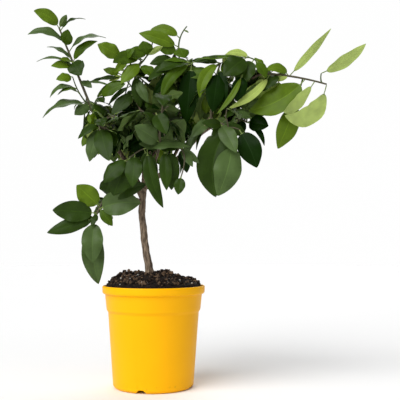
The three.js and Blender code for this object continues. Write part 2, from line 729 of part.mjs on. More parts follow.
// One leaf of the rule: it splays from its twig at a turning angle and hangs
function ruleLeaf(mass, curve, share, count, twig, random) {
    const along = curve.getTangent(share);
    const across = UP.clone().cross(along).normalize();
    const beside = along.clone().cross(across);
    const angle = THREE.MathUtils.degToRad(LEAF_TURN * count) + twig + random();
    const last = count === LEAVES_PER_TWIG - 1;
    const splay = last ? 0.25 : LEAF_SPLAY * (0.85 + 0.3 * random());
    const way = along.clone().multiplyScalar(Math.cos(splay))
        .add(across.clone().multiplyScalar(Math.sin(splay) * Math.cos(angle)))
        .add(beside.clone().multiplyScalar(Math.sin(splay) * Math.sin(angle)));
    way.z -= mass.hang * (0.5 + random());
    way.normalize().multiplyScalar(mass.leaf * (0.8 + 0.4 * random()));
    const base = curve.getPoint(share);
    const outward = base.clone().sub(vector(mass.centre)).setZ(0).normalize();
    const face = UP.clone().add(outward.multiplyScalar(0.4)).add(across.multiplyScalar(random() - 0.5));
    return {
        base,
        way,
        face,
        arch: 0.06 + 0.12 * random(),
        wide: 0.44 + 0.12 * random(),
        sway: 0,
        stations: FILL_STATIONS,
    };
}

// The leaf, shortened as far as its space and its neighbours ask, or null where it can't stay
function fitLeaf(leaf, centre, reach, middles) {
    for (const shorter of LEAF_SHORTER) {
        const way = leaf.way.clone().multiplyScalar(shorter);
        const tip = leaf.base.clone().add(way);
        const middle = leaf.base.clone().add(way.clone().multiplyScalar(0.55));
        const inside = tip.clone().sub(centre).divide(reach).length() <= 1;
        const room = LEAF_CROWDING * way.length();
        if (inside && middles.every((other) => other.distanceTo(middle) > room)) {
            middles.push(middle);
            return { ...leaf, way };
        }
    }
    return null;
}

// Whether a solid comes within touching distance of any in a list
function touchesAny(solid, others) {
    const box = solid.boundingBox();
    return others.some((other) => {
        const apart = [0, 1, 2].some((axis) => (
            box.min[axis] - TOUCH > other.box.max[axis] || other.box.min[axis] - TOUCH > box.max[axis]
        ));
        return !apart && solid.minGap(other.solid, 1) < TOUCH;
    });
}

function placed(solid) {
    return { solid, box: solid.boundingBox() };
}

// Adds a twig and its leaves to a mass, apart from what would touch another mass or a limb
function addTwig(grown, twig, obstacles) {
    if (twig.curve) {
        const solid = limbSolid(twig.curve, taper([TWIG_RADIUS, TWIG_TIP_RADIUS]), TWIG_SIDES, TWIG_STEPS);
        if (touchesAny(solid, obstacles)) {
            return;
        }
        grown.twigs.push(placed(solid));
    }
    for (const leaf of twig.leaves) {
        const solid = leafSolid(leaf, leaf.stations);
        const crosses = !twig.shown && touchesAny(solid, grown.leaves);
        if (!crosses && !touchesAny(solid, obstacles)) grown.leaves.push(placed(solid));
    }
}

// All masses: their stems and shown leaves first, so that the fill keeps clear of both
function growMasses(limbs, obstacles) {
    const masses = MASSES.map((mass) => {
        const limb = limbs.get(mass.bough);
        const plan = planMass(mass, limb.curve.getPoint(1));
        const radii = [limb.radiusAt(1), TWIG_RADIUS];
        const stem = limbSolid(plan.stem, taper(radii), STEM_SIDES, STEM_STEPS);
        const clear = largestPiece(stem.subtract(limb.space));
        return { name: mass.name, plan, twigs: [placed(clear)], leaves: [] };
    });
    const others = (own) => [
        ...obstacles,
        ...masses.filter((mass) => mass !== own).flatMap((mass) => [...mass.twigs, ...mass.leaves]),
    ];
    for (const mass of masses) {
        for (const shoot of mass.plan.shoots) addTwig(mass, { ...shoot, shown: true }, others(mass));
    }
    for (const mass of masses) {
        for (const twig of mass.plan.fill) addTwig(mass, twig, others(mass));
    }
    return masses;
}

function build() {
    const tree = new THREE.Group();
    const pot = potSolid();
    const soil = soilSolid();
    tree.add(meshOf('pot', pot, FINISHES.pot));
    tree.add(meshOf('soil', soil, FINISHES.soil));
    const limbs = growLimbs();
    for (const [name, limb] of limbs) tree.add(meshOf(name, limb.solid, FINISHES.bark));
    const fixed = [pot, soil, ...[...limbs.values()].map((limb) => limb.solid)].map(placed);
    for (const mass of growMasses(limbs, fixed)) {
        const pieces = [...mass.twigs, ...mass.leaves];
        const joined = wasm.Manifold.union(pieces.map((piece) => piece.solid));
        tree.add(meshOf(mass.name, largestPiece(joined.simplify(SMOOTHING)), FINISHES.leaves));
    }
    return tree;
}

const tree = build();

export default tree;
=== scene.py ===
import math
from collections import namedtuple

import bmesh
import bpy
import numpy as np
from bpy.props import FloatProperty, FloatVectorProperty, IntProperty, PointerProperty
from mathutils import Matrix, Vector, noise


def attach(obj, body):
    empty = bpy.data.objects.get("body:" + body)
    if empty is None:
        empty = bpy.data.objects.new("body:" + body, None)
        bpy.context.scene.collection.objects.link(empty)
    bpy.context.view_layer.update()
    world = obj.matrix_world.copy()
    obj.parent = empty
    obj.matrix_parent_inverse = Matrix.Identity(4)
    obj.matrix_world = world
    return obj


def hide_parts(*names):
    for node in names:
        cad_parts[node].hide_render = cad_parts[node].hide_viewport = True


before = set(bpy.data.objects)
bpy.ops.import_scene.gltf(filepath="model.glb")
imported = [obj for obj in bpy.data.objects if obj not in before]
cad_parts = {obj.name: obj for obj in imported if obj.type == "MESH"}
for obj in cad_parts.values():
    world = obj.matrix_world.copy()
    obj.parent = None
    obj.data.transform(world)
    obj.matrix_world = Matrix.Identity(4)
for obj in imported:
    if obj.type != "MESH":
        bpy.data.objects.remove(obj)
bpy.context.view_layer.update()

bl_info = {
    "name": "Potted lemon tree",
    "version": (1, 0, 0),
    "blender": (4, 5, 0),
    "location": "View3D > Sidebar > Lemon tree",
    "description": "A young lemon tree with its bark, twigs and leaves, in a moulded pot of soil",
    "category": "Add Mesh",
}

# Plant and soil sizes are in millimetres, as grown, and turn into metres with each mesh
MM = 0.001

# Points round a ring of the pot
POT_SIDES = 288

# Soil
SOIL_EDGE_HEIGHT = 164
SOIL_CROWN = 21
SOIL_PATCH_HEIGHT = 188
SOIL_SHARE_RADIUS = 83.6
SOIL_EDGE_RADIUS = 79.4
SOIL_FOOT_HEIGHT = 140
SOIL_SIDES = 200
SOIL_RINGS = 84
SOIL_ROUGH_SCALE = 0.14
# The flat patch round the trunk: its reach, and the width over which it blends in
PATCH_REACH = 26
PATCH_BLEND = 12
# Clods: x, y, width, height
CLODS = (
    (-50, -4, 17, 9),
    (-30, 30, 16, 5),
    (18, 4, 16, 7),
    (34, -16, 14, 3),
    (48, 6, 18, -4),
    (-12, -44, 18, 4),
    (62, 22, 12, 3),
    (10, 52, 20, 5),
)

# Trunk: x, y, z and radius, from just under the soil to the fork
TRUNK_FOOT = (-7, 0)
TRUNK = (
    (-6.6, 0, 182, 11),
    (-7.6, 0, 194, 6.9),
    (-10.2, -1, 208, 6.3),
    (-13.2, -2, 226, 6),
    (-15.7, -2, 244, 5.8),
    (-17.6, -1, 262, 5.7),
    (-20.4, 0, 285, 5.6),
    (-20.8, 0, 293, 6.1),
    (-19.8, 1, 306, 5.4),
    (-18.4, 1, 322, 5),
    (-17, 0, 338, 4.7),
)
# A short cut-off branch on the trunk: start, end, radius
STUB = ((-21, -2, 309), (-30, -4, 314), 2.6)

# Boughs: name, parent, share of the parent's length, by, tip, radii
BOUGHS = (
    ("left_bough", "trunk", 0.92, (-60, 4, 396), (-104, 0, 458), (4.2, 2.5)),
    ("low_left_bough", "trunk", 0.84, (-50, -12, 350), (-79, -14, 317), (3.2, 2)),
    ("right_bough", "trunk", 0.97, (44, -10, 386), (100, -14, 450), (4.4, 3)),
    ("centre_bough", "trunk", 1, (-10, 4, 392), (-4, 2, 440), (4.2, 3)),
    ("front_bough", "trunk", 0.94, (-4, -30, 352), (10, -58, 388), (3.2, 2.2)),
    ("back_bough", "trunk", 0.96, (-22, 42, 385), (-28, 84, 428), (3.6, 2.4)),
    ("shoulder_bough", "left_bough", 0.5, (-76, -14, 416), (-88, -22, 430), (2.6, 1.9)),
    ("back_left_bough", "left_bough", 0.4, (-68, 40, 408), (-84, 62, 420), (2.8, 2)),
    ("top_left_bough", "centre_bough", 0.7, (-18, -2, 452), (-30, -6, 480), (2.6, 1.9)),
    ("inner_bough", "centre_bough", 0.35, (2, 18, 400), (10, 28, 420), (2.6, 2)),
    ("back_right_bough", "right_bough", 0.35, (42, 34, 408), (62, 66, 438), (3, 2.2)),
    ("hanging_bough", "right_bough", 0.72, (92, -34, 438), (112, -44, 436), (2.6, 2)),
    ("under_right_bough", "right_bough", 0.8, (110, 6, 444), (134, 14, 452), (2.4, 1.8)),
    ("arm_bough", "right_bough", 0.86, (128, 12, 495), (188, -10, 530), (2.9, 2)),
)

# Masses of foliage. Each grows from its bough on one stem by a point to its tip, and keeps to the
# space given by its centre and reach. Then come the number of twigs, a leaf's length, how much it
# hangs, and the lower share of the stem that the rule's twigs keep to.
MASS_PARTS = "name bough seed tone by tip centre reach twigs leaf hang low clear"
Mass = namedtuple("Mass", MASS_PARTS, defaults=(1, None))
Twig = namedtuple("Twig", "curve radii leaves")
Leaf = namedtuple("Leaf", "base way face arch wide sway tone")
MASSES = (
    Mass("upper_left_leaves", "left_bough", 11, "mid", (-131, -5, 527), (-164, -4, 608),
         (-104, 14, 448), (50, 56, 42), 3, 50, 0.5, 0.35),
    Mass("left_shoulder_leaves", "shoulder_bough", 12, "dark", (-92, -26, 438), (-90, -30, 446),
         (-74, -32, 430), (50, 56, 54), 4, 60, 0.6),
    Mass("low_left_leaves", "low_left_bough", 13, "dark", (-90, -15, 300), (-98, -17, 278),
         (-92, 10, 306), (42, 44, 40), 1, 44, 0.5),
    Mass("top_left_leaves", "top_left_bough", 14, "mid", (-34, -8, 512), (-22, -10, 550),
         (-36, 8, 508), (56, 64, 56), 5, 64, 0.5),
    Mass("top_leaves", "centre_bough", 15, "mid", (16, -2, 510), (42, -4, 575),
         (32, 18, 522), (56, 60, 54), 4, 62, 0.5),
    Mass("right_inner_leaves", "right_bough", 16, "mid", (102, -15, 500), (113, -16, 545),
         (92, -6, 496), (66, 60, 66), 6, 66, 0.5),
    Mass("arm_leaves", "arm_bough", 17, "mid", (240, -14, 521), (293, -16, 508),
         (170, 4, 508), (60, 54, 50), 4, 62, 0.6),
    Mass("hanging_leaves", "hanging_bough", 18, "dark", (123, -51, 426), (130, -56, 404),
         (104, -52, 432), (52, 54, 54), 2, 58, 0.9),
    Mass("front_leaves", "front_bough", 19, "dark", (14, -80, 412), (8, -92, 446),
         (2, -84, 440), (76, 62, 70), 6, 68, 0.7),
    # The inner mass takes the darkest tone, painted shade for the crown's core
    Mass("inner_leaves", "inner_bough", 20, "deep", (8, 32, 432), (4, 30, 452),
         (-2, 14, 440), (78, 54, 84), 7, 66, 0.6),
    Mass("back_leaves", "back_bough", 21, "mid", (-28, 104, 446), (-22, 118, 468),
         (-24, 118, 450), (80, 72, 80), 7, 70, 0.6),
    Mass("back_left_leaves", "back_left_bough", 22, "mid", (-92, 74, 430), (-98, 84, 446),
         (-100, 78, 436), (62, 64, 66), 5, 64, 0.6),
    Mass("back_right_leaves", "back_right_bough", 23, "mid", (72, 84, 458), (84, 96, 484),
         (86, 90, 476), (78, 70, 76), 7, 68, 0.6),
    Mass("under_right_leaves", "under_right_bough", 24, "dark", (148, 16, 454), (160, 18, 448),
         (150, 14, 452), (54, 54, 44), 3, 56, 0.7),
)

# Leaves that stand clear: place on the shoot, way to the tip, facing, width over length, tone, and
# the arch and sway where they aren't the usual ones. A row of three starts a shoot for the leaves
# after it: place on the stem, by, tip.
SHOWN = {
    "upper_left_leaves": (
        (1, -41, -14, 26, "front", 0.44, "fresh", 0.1, 0.1),
        (1, 15, -12, 20, "away", 0.4, "grey"),
        (0.97, 42, 10, 24, "lean", 0.26, "dark", 0.2),
        (0.82, -65, -6, 17, "lean", 0.28, "grey", 0.26),
        (0.81, 7, -26, 22, "front", 0.62, "mid", 0.05),
        (0.744, 65, -4, 24, "lean", 0.36, "grey", 0.22),
        (0.63, 44, -14, 34, "front", 0.3, "mid", 0.1, -0.12),
        (0.66, -43, -4, 22, "lean", 0.3, "grey", 0.16),
        (0.63, -19, -16, 2, "half", 0.5, "fresh"),
        (0.54, -67, -8, 14, "lean", 0.12, "grey", 0.24),
        (0.6, -37, -14, -4, "front", 0.4, "fresh"),
        (0.65, 20, -24, -30, "front", 0.71, "dark", 0.05),
        (0.43, 22, -14, -15, "half", 0.45, "grey"),
        (0.4, 51, -6, -6, "lean", 0.16, "grey"),
        (0.15, -24, -16, -20, "front", 0.58, "grey"),
        (0.1, (-126, -8, 492), (-139, -10, 522)),
        (1, -25, -16, -8, "front", 0.66, "fresh", 0.12),
        (0.66, -46, -5, -16, "lean", 0.3, "grey", 0.3),
        (0.5, -37, -10, -3, "lean", 0.34, "mid", 0.34),
        (0.12, -77, -10, -23, "lean", 0.36, "grey", 0.2),
        (0.1, (-100, -4, 482), (-94, -5, 490)),
        (1, 47, -20, 17, "front", 0.41, "mid", 0.08),
        (0.6, 15, -12, -7, "half", 0.83, "dark"),
    ),
    "left_shoulder_leaves": (
        (0.6, -32, -12, -28, "half", 0.46, "dark"),
        (0.3, -15, -6, -60, "front", 0.42, "grey"),
        (0.3, 23, -44, -63, "front", 0.4, "dark", 0.06),
        (1, 9, -26, -16, "half", 0.7, "dark"),
    ),
    "low_left_leaves": (
        (0.5, -38, -10, 36, "front", 0.66, "fresh", 0.06),
        (0.75, -73, -10, 5, "front", 0.48, "dark", 0.06),
        (0.95, -80, -4, -24, "front", 0.3, "dark", 0.05),
        (0.75, -7, -14, -22, "front", 0.44, "dark", 0.08),
        (0.85, -47, 4, -20, "front", 0.43, "dark", 0.08),
        (1, 7, 0, -107, "front", 0.35, "grey", 0.05, 0.05),
        (0.98, 1, -28, -72, "front", 0.46, "grey", 0.04, 0.03),
        (0.6, 72, -16, 10, "front", 0.57, "grey", 0.12, -0.05),
        (0.12, 72, -34, 20, "front", 0.34, "dark"),
        (0.06, 14, -40, 34, "front", 0.5, "dark"),
        (0.55, 23, -4, -30, "front", 0.45, "mid", 0.05),
    ),
    "top_left_leaves": (
        (1, -47, -14, -7, "front", 0.48, "mid", 0.1, 0.12),
        (0.97, -32, -16, -41, "front", 0.44, "fresh"),
        (0.25, -38, -10, -38, "front", 0.47, "dark", 0.08),
        (0.9, 31, -10, -27, "half", 0.5, "mid"),
        (0.6, 24, -10, -44, "front", 0.33, "grey"),
        (0.7, 8, -2, -58, "front", 0.38, "dark"),
        (0.9, (-10, -11, 562), (-3, -12, 581)),
        (0.4, -6, -14, 22, "front", 1.02, "mid"),
        (0.5, -34, -14, -1, "front", 0.55, "mid"),
        (0.4, 28, -10, 14, "away", 0.34, "fresh"),
        (0.2, -24, -14, 4, "half", 0.5, "mid"),
        (0.6, (-40, -12, 544), (-54, -14, 553)),
        (1, -41, -10, 22, "front", 0.56, "fresh", 0.08),
        (0.9, 19, -12, 14, "front", 0.64, "mid", 0.14),
        (0.7, -21, -14, -25, "front", 0.38, "fresh"),
        (0.3, (-46, 12, 517), (-60, 18, 533)),
        (1, -31, 2, 10, "front", 0.46, "fresh"),
        (0.9, -24, 4, -8, "front", 0.4, "lime"),
        (0.8, -65, 12, -7, "half", 0.2, "dark"),
        (0.6, -50, -16, -31, "front", 0.31, "mid"),
        (0.3, -41, 10, -33, "front", 0.18, "dark", 0.02, 0.08),
        (0.1, -10, 2, -20, "half", 0.68, "dark", 0.06),
    ),
    "top_leaves": (
        (1, -68, -12, 21, "front", 0.33, "fresh"),
        (1, 10, -16, -23, "front", 0.91, "mid", 0.06),
        (0.96, -32, -10, -1, "front", 0.66, "mid", 0.08),
        (0.85, -41, -10, -13, "front", 0.42, "dark"),
        (0.99, (45, -5, 594), (56, -6, 611)),
        (0.4, -51, 4, 16, "front", 0.35, "fresh", 0.06, 0.13),
        (0.8, 8, -4, -6, "half", 0.47, "fresh", 0.05),
        (0.75, (46, -10, 548), (66, -14, 544)),
        (1, -52, -24, -64, "front", 0.23, "mid", 0.08, 0.12),
        (0.9, -58, -14, -20, "half", 0.46, "dark"),
        (0.9, -45, -6, 2, "half", 0.3, "mid"),
        (0.95, -9, 6, -103, "front", 0.34, "deep", 0.05),
        (0.95, 44, -12, 9, "half", 0.28, "dark", 0.04),
        (0.8, -60, -4, -59, "front", 0.24, "deep", 0.14),
        (0.3, -48, -22, -36, "half", 0.46, "dark", 0.08),
    ),
    "right_inner_leaves": (
        (1, -35, -14, -63, "front", 0.28, "fresh", 0.08, 0.13),
        (0.85, -10, -16, -75, "front", 0.42, "deep", 0.06),
        (0.9, 9, -6, -64, "front", 0.34, "deep", 0.06),
        (0.98, 32, 16, 18, "front", 0.5, "lime"),
        (0.99, -40, 20, 12, "front", 0.29, "dark"),
        (0.99, -51, 20, 9, "front", 0.21, "dark"),
        (0.8, 46, 26, 18, "front", 0.6, "mid"),
        (0.72, -65, 16, 12, "front", 0.37, "mid"),
        (0.02, -34, -30, -36, "front", 0.35, "grey"),
        (0.01, -51, -30, -94, "front", 0.12, "grey", 0.06, 0.1),
        (0.05, -25, -10, -57, "half", 0.11, "dark", 0.1, 0.06),
        (0.7, (132, -22, 522), (150, -26, 523)),
        (1, -12, -8, -48, "front", 0.52, "deep", 0.06),
        (0.95, -43, -12, -70, "front", 0.12, "fresh", 0.1, -0.08),
    ),
    "arm_leaves": (
        (1, -73, -12, -55, "away", 0.42, "lime", 0.04, 0.33),
        (0.81, -59, -46, -61, "away", 0.26, "lime", 0.06, 0.12),
        (0.66, -96, 14, -52, "front", 0.44, "fresh", 0.04, -0.1),
        (0.41, 70, -12, 79, "away", 0.16, "lime", 0.06, -0.03),
        (0.4, -40, -8, 8, "front", 0.41, "fresh", 0.08, 0.2),
        (0.42, -32, 10, -3, "front", 0.45, "lime"),
        (0.3, -44, 4, -30, "half", 0.5, "dark"),
        (0.12, -74, -18, -64, "front", 0.15, "lime", 0.06, -0.1),
        (0.06, -20, -6, 26, "half", 0.51, "fresh", 0.06),
        (0.92, (283, -16, 518), (284, -16, 527)),
        (1, 75, -8, 49, "away", 0.25, "lime", 0.05, -0.08),
        (0.62, (249, -2, 500), (247, 4, 482)),
        (1, -34, 12, -80, "front", 0.42, "fresh", 0.06),
        (0.14, (174, -17, 548), (157, -19, 553)),
        (1, -40, -22, -36, "front", 0.64, "dark"),
        (0.6, -30, -6, -47, "front", 0.55, "dark"),
        (0.9, -89, -4, -4, "half", 0.15, "mid", 0.03),
        (0.8, -41, -8, 4, "front", 0.32, "lime", 0.05, 0.12),
        (0.5, 16, -10, -32, "half", 0.6, "mid"),
    ),
    "hanging_leaves": (
        (0.5, -19, -2, -112, "front", 0.48, "dark", 0.05, 0.12),
        (1, -24, -30, -90, "front", 0.46, "grey", 0.05, -0.05),
        (0.02, 25, -34, -53, "front", 0.41, "grey"),
        (0.15, -18, -6, -29, "front", 0.43, "dark"),
        (0.02, 44, 4, -19, "front", 0.42, "dark"),
        (0.15, -34, -22, -1, "front", 0.42, "dark", 0.1, -0.05),
        (0.4, (134, -52, 428), (144, -54, 424)),
        (0.9, 28, -10, -64, "front", 0.55, "deep", 0.06, -0.03),
    ),
    "front_leaves": (
        (0.1, 46, -20, 6, "half", 0.5, "dark", 0.08),
        (0.3, -38, -30, 23, "front", 0.57, "grey", 0.08),
        (0.35, 6, -4, 49, "front", 0.57, "deep", 0.08),
        (0.1, -31, -16, 8, "half", 0.57, "grey", 0.08),
        (0.6, -24, -16, 28, "half", 0.59, "dark", 0.08),
        (1, 18, -18, -37, "front", 0.57, "dark", 0.08),
        (0.12, (-12, -66, 392), (-38, -58, 376)),
        (1, -39, -10, -40, "half", 0.54, "dark", 0.12),
        (0.8, -2, -16, -56, "front", 0.5, "dark", 0.08),
        (0.4, 27, -14, -98, "front", 0.23, "dark", 0.05, 0.06),
        (0.5, 16, 6, -58, "front", 0.44, "dark", 0.05),
        (0.55, 78, -18, 1, "half", 0.28, "grey"),
        (0.95, -28, 8, -62, "front", 0.6, "dark", 0.08),
        (0.15, (28, -66, 392), (50, -62, 396)),
        (0.3, 4, -8, -68, "front", 0.3, "dark", 0.05),
        (0.6, 0, 8, -67, "front", 0.4, "dark", 0.05),
        (0.95, 9, 16, -41, "front", 0.44, "deep", 0.05),
        (0.95, 19, -12, -34, "front", 0.36, "grey", 0.05),
        (0.95, 30, 6, -27, "front", 0.29, "grey", 0.05),
        (0.18, (50, -72, 388), (46, -74, 340)),
        (0.95, -5, -4, -30, "front", 0.6, "dark", 0.05),
    ),
    "under_right_leaves": (
        (1, 36, -14, -8, "front", 0.82, "deep"),
        (1, 63, -4, 18, "half", 0.1, "dark"),
        (0.9, 31, -10, -44, "front", 0.19, "deep", 0.1, -0.12),
        (1, 28, 6, 4, "sky", 0.26, "mid"),
        (0.6, -2, -16, -30, "front", 0.5, "deep"),
    ),
}

# Ways that a leaf's upper side can face
FACES = {
    "sky": (0, 0, 1),
    "half": (0, -1, 0.9),
    "front": (0, -1, 0.15),
    "away": (0, 1, 0.75),
    "lean": (0, -0.95, 1),
}

# The growing rule, with the part's own values. A span is a least value and what chance adds to it.
STEM_START = 0.97
TWIG_RADIUS = 1.5
TWIG_TIP_RADIUS = 1
TWIG_FIRST = 0.2
TWIG_SPREAD = 0.5
TWIG_RISE = 0.16
LEAVES_PER_TWIG = 5
LEAF_SPAN = (0.3, 0.94)
LEAF_TURN = 137.5
LEAF_SPLAY = 0.9
LEAF_END_SPLAY = 0.25
SPLAY_SPAN = (0.85, 0.3)
HANG_SPAN = (0.5, 1)
SIZE_SPAN = (0.8, 0.4)
ARCH_SPAN = (0.06, 0.12)
WIDTH_SPAN = (0.5, 0.14)
LEAF_SHORTER = (1, 0.84, 0.7)
LEAF_CROWDING = 0.17
LEAF_MIDDLE = 0.55
LEAF_ASIDE = 0.4
LEAF_OUTWARD = 0.4
PETIOLE_SHARE = 0.12

# Finer twigs that grow on from the rule's twigs
SIDE_PLACES = (0.3, 0.55, 0.8)
SIDE_REACH = 0.34
SIDE_SPAN = (0.8, 0.5)
SIDE_ALONG = 0.5
SIDE_RISE = 0.2
SIDE_BOW = 0.1
SIDE_LEAVES = 3
SIDE_LEAF = 0.86
SIDE_RADII = (0.9, 0.6)

# Added to a mass's seed for its finer twigs, and for the shapes and tones of its leaves
SIDE_SEED = 400
LEAF_SEED = 900

# Openings in the crown where the sky shows, seen from the front eye: x, z, half-width, half-height
FRONT_EYE = (79.2, -1224)
EYE_HEIGHT = 244
OPENINGS = (
    (-141, 440, 28, 24),
    (-92, 371, 20, 15),
    (-148, 385, 30, 30),
    (-118, 360, 20, 14),
    (-66, 515, 40, 15),
    (-40, 507, 16, 10),
    (92, 430, 13, 12),
    (70, 392, 9, 12),
    (-118, 502, 13, 17),
    (-83, 415, 6, 9),
    (0, 372, 7, 11),
    (30, 345, 9, 16),
    (150, 420, 22, 16),
    (120, 395, 12, 26),
    (-62, 504, 14, 9),
    (30, 575, 60, 20),
    (-57, 486, 14, 8),
)

# Where along a leaf its fit is tried
FIT_PLACES = (0.3, LEAF_MIDDLE, 0.8, 1)

# Where along a leaf that stands clear others keep off, the room aside as a share of its half-width
# with an extra, and how far behind
CLEAR_PLACES = (0.35, 0.6, 0.85)
CLEAR_SHARE = 0.7
CLEAR_ROOM = 3
CLEAR_DEPTH = 6

# Leaf shape: columns across the upper side and back along the under side, and rows along the leaf
TOP_COLUMNS = (-1, -0.68, -0.34, -0.035, 0.035, 0.34, 0.68, 1)
UNDER_COLUMNS = (0.68, 0.34, 0.035, -0.035, -0.34, -0.68)
TOP_RIB = 3
UNDER_RIB = 10
# Each side's columns, the way it faces, and how far its midrib stands out
LEAF_SHEETS = ((TOP_COLUMNS, 1, -0.12), (UNDER_COLUMNS, -1, 0.25))
RIB_HALF = 0.1
LEAST_HALF = 0.6
STALK_ROWS = (0.02, 0.07, 0.115)
BLADE_ROWS = (
    0.132, 0.155, 0.19, 0.235, 0.29, 0.35, 0.41, 0.47, 0.53,
    0.59, 0.65, 0.71, 0.77, 0.825, 0.875, 0.92, 0.955, 0.98,
)
STALK_RADIUS = 0.85
LEAVES_PER_PIECE = 330
LEAF_ROWS = len(STALK_ROWS) + len(BLADE_ROWS)
LEAF_SIDES = len(TOP_COLUMNS) + len(UNDER_COLUMNS)

# Tones of leaves, those that the rule gives by chance, and those with a pale underside
# The darkest tone is painted shade: a near-black green that stands for the shade in the crown's
# core
TONES = ("deep", "dark", "mid", "fresh", "lime", "grey")
# The grey tone is painted sheen: a greyed, paler green that stands for the waxy reflection, over
# the leaves' real reflection
TONE_MIX = {
    "deep": ("deep", "deep", "dark", "deep"),
    "dark": ("deep", "dark", "dark", "grey"),
    "mid": ("dark", "mid", "fresh", "fresh"),
}
PALE_UNDER = ("fresh", "lime")
RIB_SHADE = 1.35
LEAF_GLOSS, RIB_GLOSS = 0.28, 0.32
# Reflection of the upper sides, and of the tones that differ
SHEEN = 0.1
SHEENS = {"deep": 0.05, "grey": 0.15}

# Blades: spans of fold, curl and wave over the half-width, how the wave runs along and across the
# blade, the twist in radians, and how much looser a leaf of the rule is
FOLD = (0.16, 0.26)
CURL = (0.08, 0.3)
WAVE = (0.06, 0.1)
WAVE_TURN = 6.28
WAVE_COUNT = 17
WAVE_SLANT = 1.4
TWIST = 0.9
LOOSER = 1.7

# Bark: scales of furrows, grain and lumps, and their heights over the relief or over the radius
FURROW_SCALE = (0.5, 0.5, 0.07)
GRAIN_SCALE = 0.9
LUMP_SCALE = 0.11
FURROW_RISE, GRAIN_RISE, LUMP_RISE = 1.6, 0.5, 0.09
STUB_RELIEF = 0.2
TWIG_RELIEF = 0.12
BOUGH_RELIEF_SHARE = 0.7
BOUGH_STEP = 1.6
# Share of the trunk that flares, and how much wider a bough is at its foot and how soon it thins
FLARE_SHARE = 0.12
COLLAR = 0.55
COLLAR_FALL = 14

# Crumbs of the soil: least size, how much larger they come, room from the edge and from the trunk,
# and the shares up to which they are earth, crumb and fibre, with grit as the rest
CRUMB_SIZE = 0.8
CRUMB_SPREAD = 3.4
CRUMB_EDGE = 3
CRUMB_TRUNK = 9
CRUMB_SHARES = (0.5, 0.91, 0.965)
CRUMB_STRETCH = (1, 0.75, 0.6)
CRUMB_LUMPS = 6
CRUMB_ROUGHNESS = 0.55
CRUMB_RISE = 0.35
CRUMB_SEED = 8
FIBRE, GRIT = 2, 3
FIBRE_STRETCH = (2.6, 0.35, 0.3)
FIBRE_SIZE = 2.2
FIBRE_INSIDE = 0.93
GRIT_SHARE = 0.7

# Camera and lights: each light's name, the way it comes from and its spread in degrees
CAMERA_PLACE = (0.0782, -1.224, 0.244)
CAMERA_PITCH = 93.2
LIGHTS = (
    ("key", (-0.75, -0.9, 1.0), 55),
    ("fill", (0.7, -0.9, 0.6), 60),
    ("back", (0.2, 1.0, 0.8), 60),
)


def srgb(red, green, blue):
    """A colour as a screen shows it, from 0 to 255, as the linear one that shaders use."""
    shares = (value / 255 for value in (red, green, blue))
    return tuple(v / 12.92 if v <= 0.04045 else ((v + 0.055) / 1.055) ** 2.4 for v in shares)


def colour(name, description, default):
    """A colour that a user can change."""
    return FloatVectorProperty(
        name=name, description=description, default=default, size=3, subtype="COLOR", min=0, max=1,
    )


def length(name, description, default):
    """A length that a user can change, in metres."""
    return FloatProperty(name=name, description=description, default=default, unit="LENGTH", min=0)


def strength(name, description, default):
    """How strong a light is."""
    return FloatProperty(name=name, description=description, default=default, min=0)


class PotSettings(bpy.types.PropertyGroup):
    """Sizes and colour of the pot"""

    height: length("Height", "Height of the pot", 0.168)
    rim_radius: length("Rim radius", "Outer radius of the lip", 0.0862)
    lip_height: length("Lip height", "Height of the lip round the top", 0.0125)
    collar_radius: length("Collar radius", "Outer radius of the collar under the lip", 0.0816)
    collar_height: length("Collar height", "Height of the collar", 0.027)
    body_top_radius: length("Body top radius", "Outer radius at the top of the body", 0.0762)
    body_foot_radius: length("Body foot radius", "Outer radius at the foot of the body", 0.0674)
    wall: length("Wall", "Thickness of the moulded wall", 0.0018)
    corner: length("Corner", "Rounding of the moulded corners", 0.0011)
    plastic: colour("Plastic", "Colour of the pot", srgb(255, 182, 0))


class SoilSettings(bpy.types.PropertyGroup):
    """Crumbs and colours of the soil"""

    crumbs: IntProperty(name="Crumbs", description="Number of loose crumbs", default=1500, min=0)
    relief: length("Relief", "Unevenness of the surface", 0.0018)
    earth: colour("Earth", "Colour of the damp soil", srgb(26, 18, 13))
    crumb: colour("Crumb", "Colour of the lighter crumbs", srgb(88, 70, 54))
    fibre: colour("Fibre", "Colour of the bits of fibre", srgb(140, 112, 84))
    grit: colour("Grit", "Colour of the grains of grit", srgb(188, 184, 176))


class BarkSettings(bpy.types.PropertyGroup):
    """Relief and colours of the bark"""

    relief: length("Relief", "Depth of the furrows", 0.00045)
    ridge: colour("Ridge", "Colour of the raised bark", srgb(142, 122, 100))
    furrow: colour("Furrow", "Colour in the furrows", srgb(74, 60, 46))
    cut: colour("Cut", "Colour of the cut-off branch", srgb(178, 112, 54))
    twig: colour("Twig", "Colour of the older twigs", srgb(72, 66, 42))
    shoot: colour("Shoot", "Colour of the young shoots", srgb(66, 84, 36))


class LeafSettings(bpy.types.PropertyGroup):
    """Thickness and colours of the leaves"""

    thickness: length("Thickness", "Thickness of a blade at its middle", 0.0006)
    # The darkest tone is painted shade, a near-black green for leaves in the crown's shaded core
    deep: colour("Deep", "Leaves deep in the crown", srgb(15, 38, 2))
    dark: colour("Dark", "Old leaves", srgb(40, 60, 12))
    mid: colour("Mid", "Grown leaves", srgb(62, 86, 12))
    fresh: colour("Fresh", "Young leaves", srgb(84, 108, 20))
    lime: colour("Lime", "Newest leaves", srgb(156, 174, 88))
    # The grey tone is painted sheen, a greyed green for the waxy reflection on these leaves
    grey: colour("Grey", "Leaves with a dull sheen", srgb(70, 90, 46))
    under: colour("Underside", "Underside of grown leaves", srgb(84, 106, 50))
    pale_under: colour("Pale underside", "Underside of young leaves", srgb(168, 188, 100))
    stalk: colour("Stalk", "Leaf stalks", srgb(112, 132, 62))


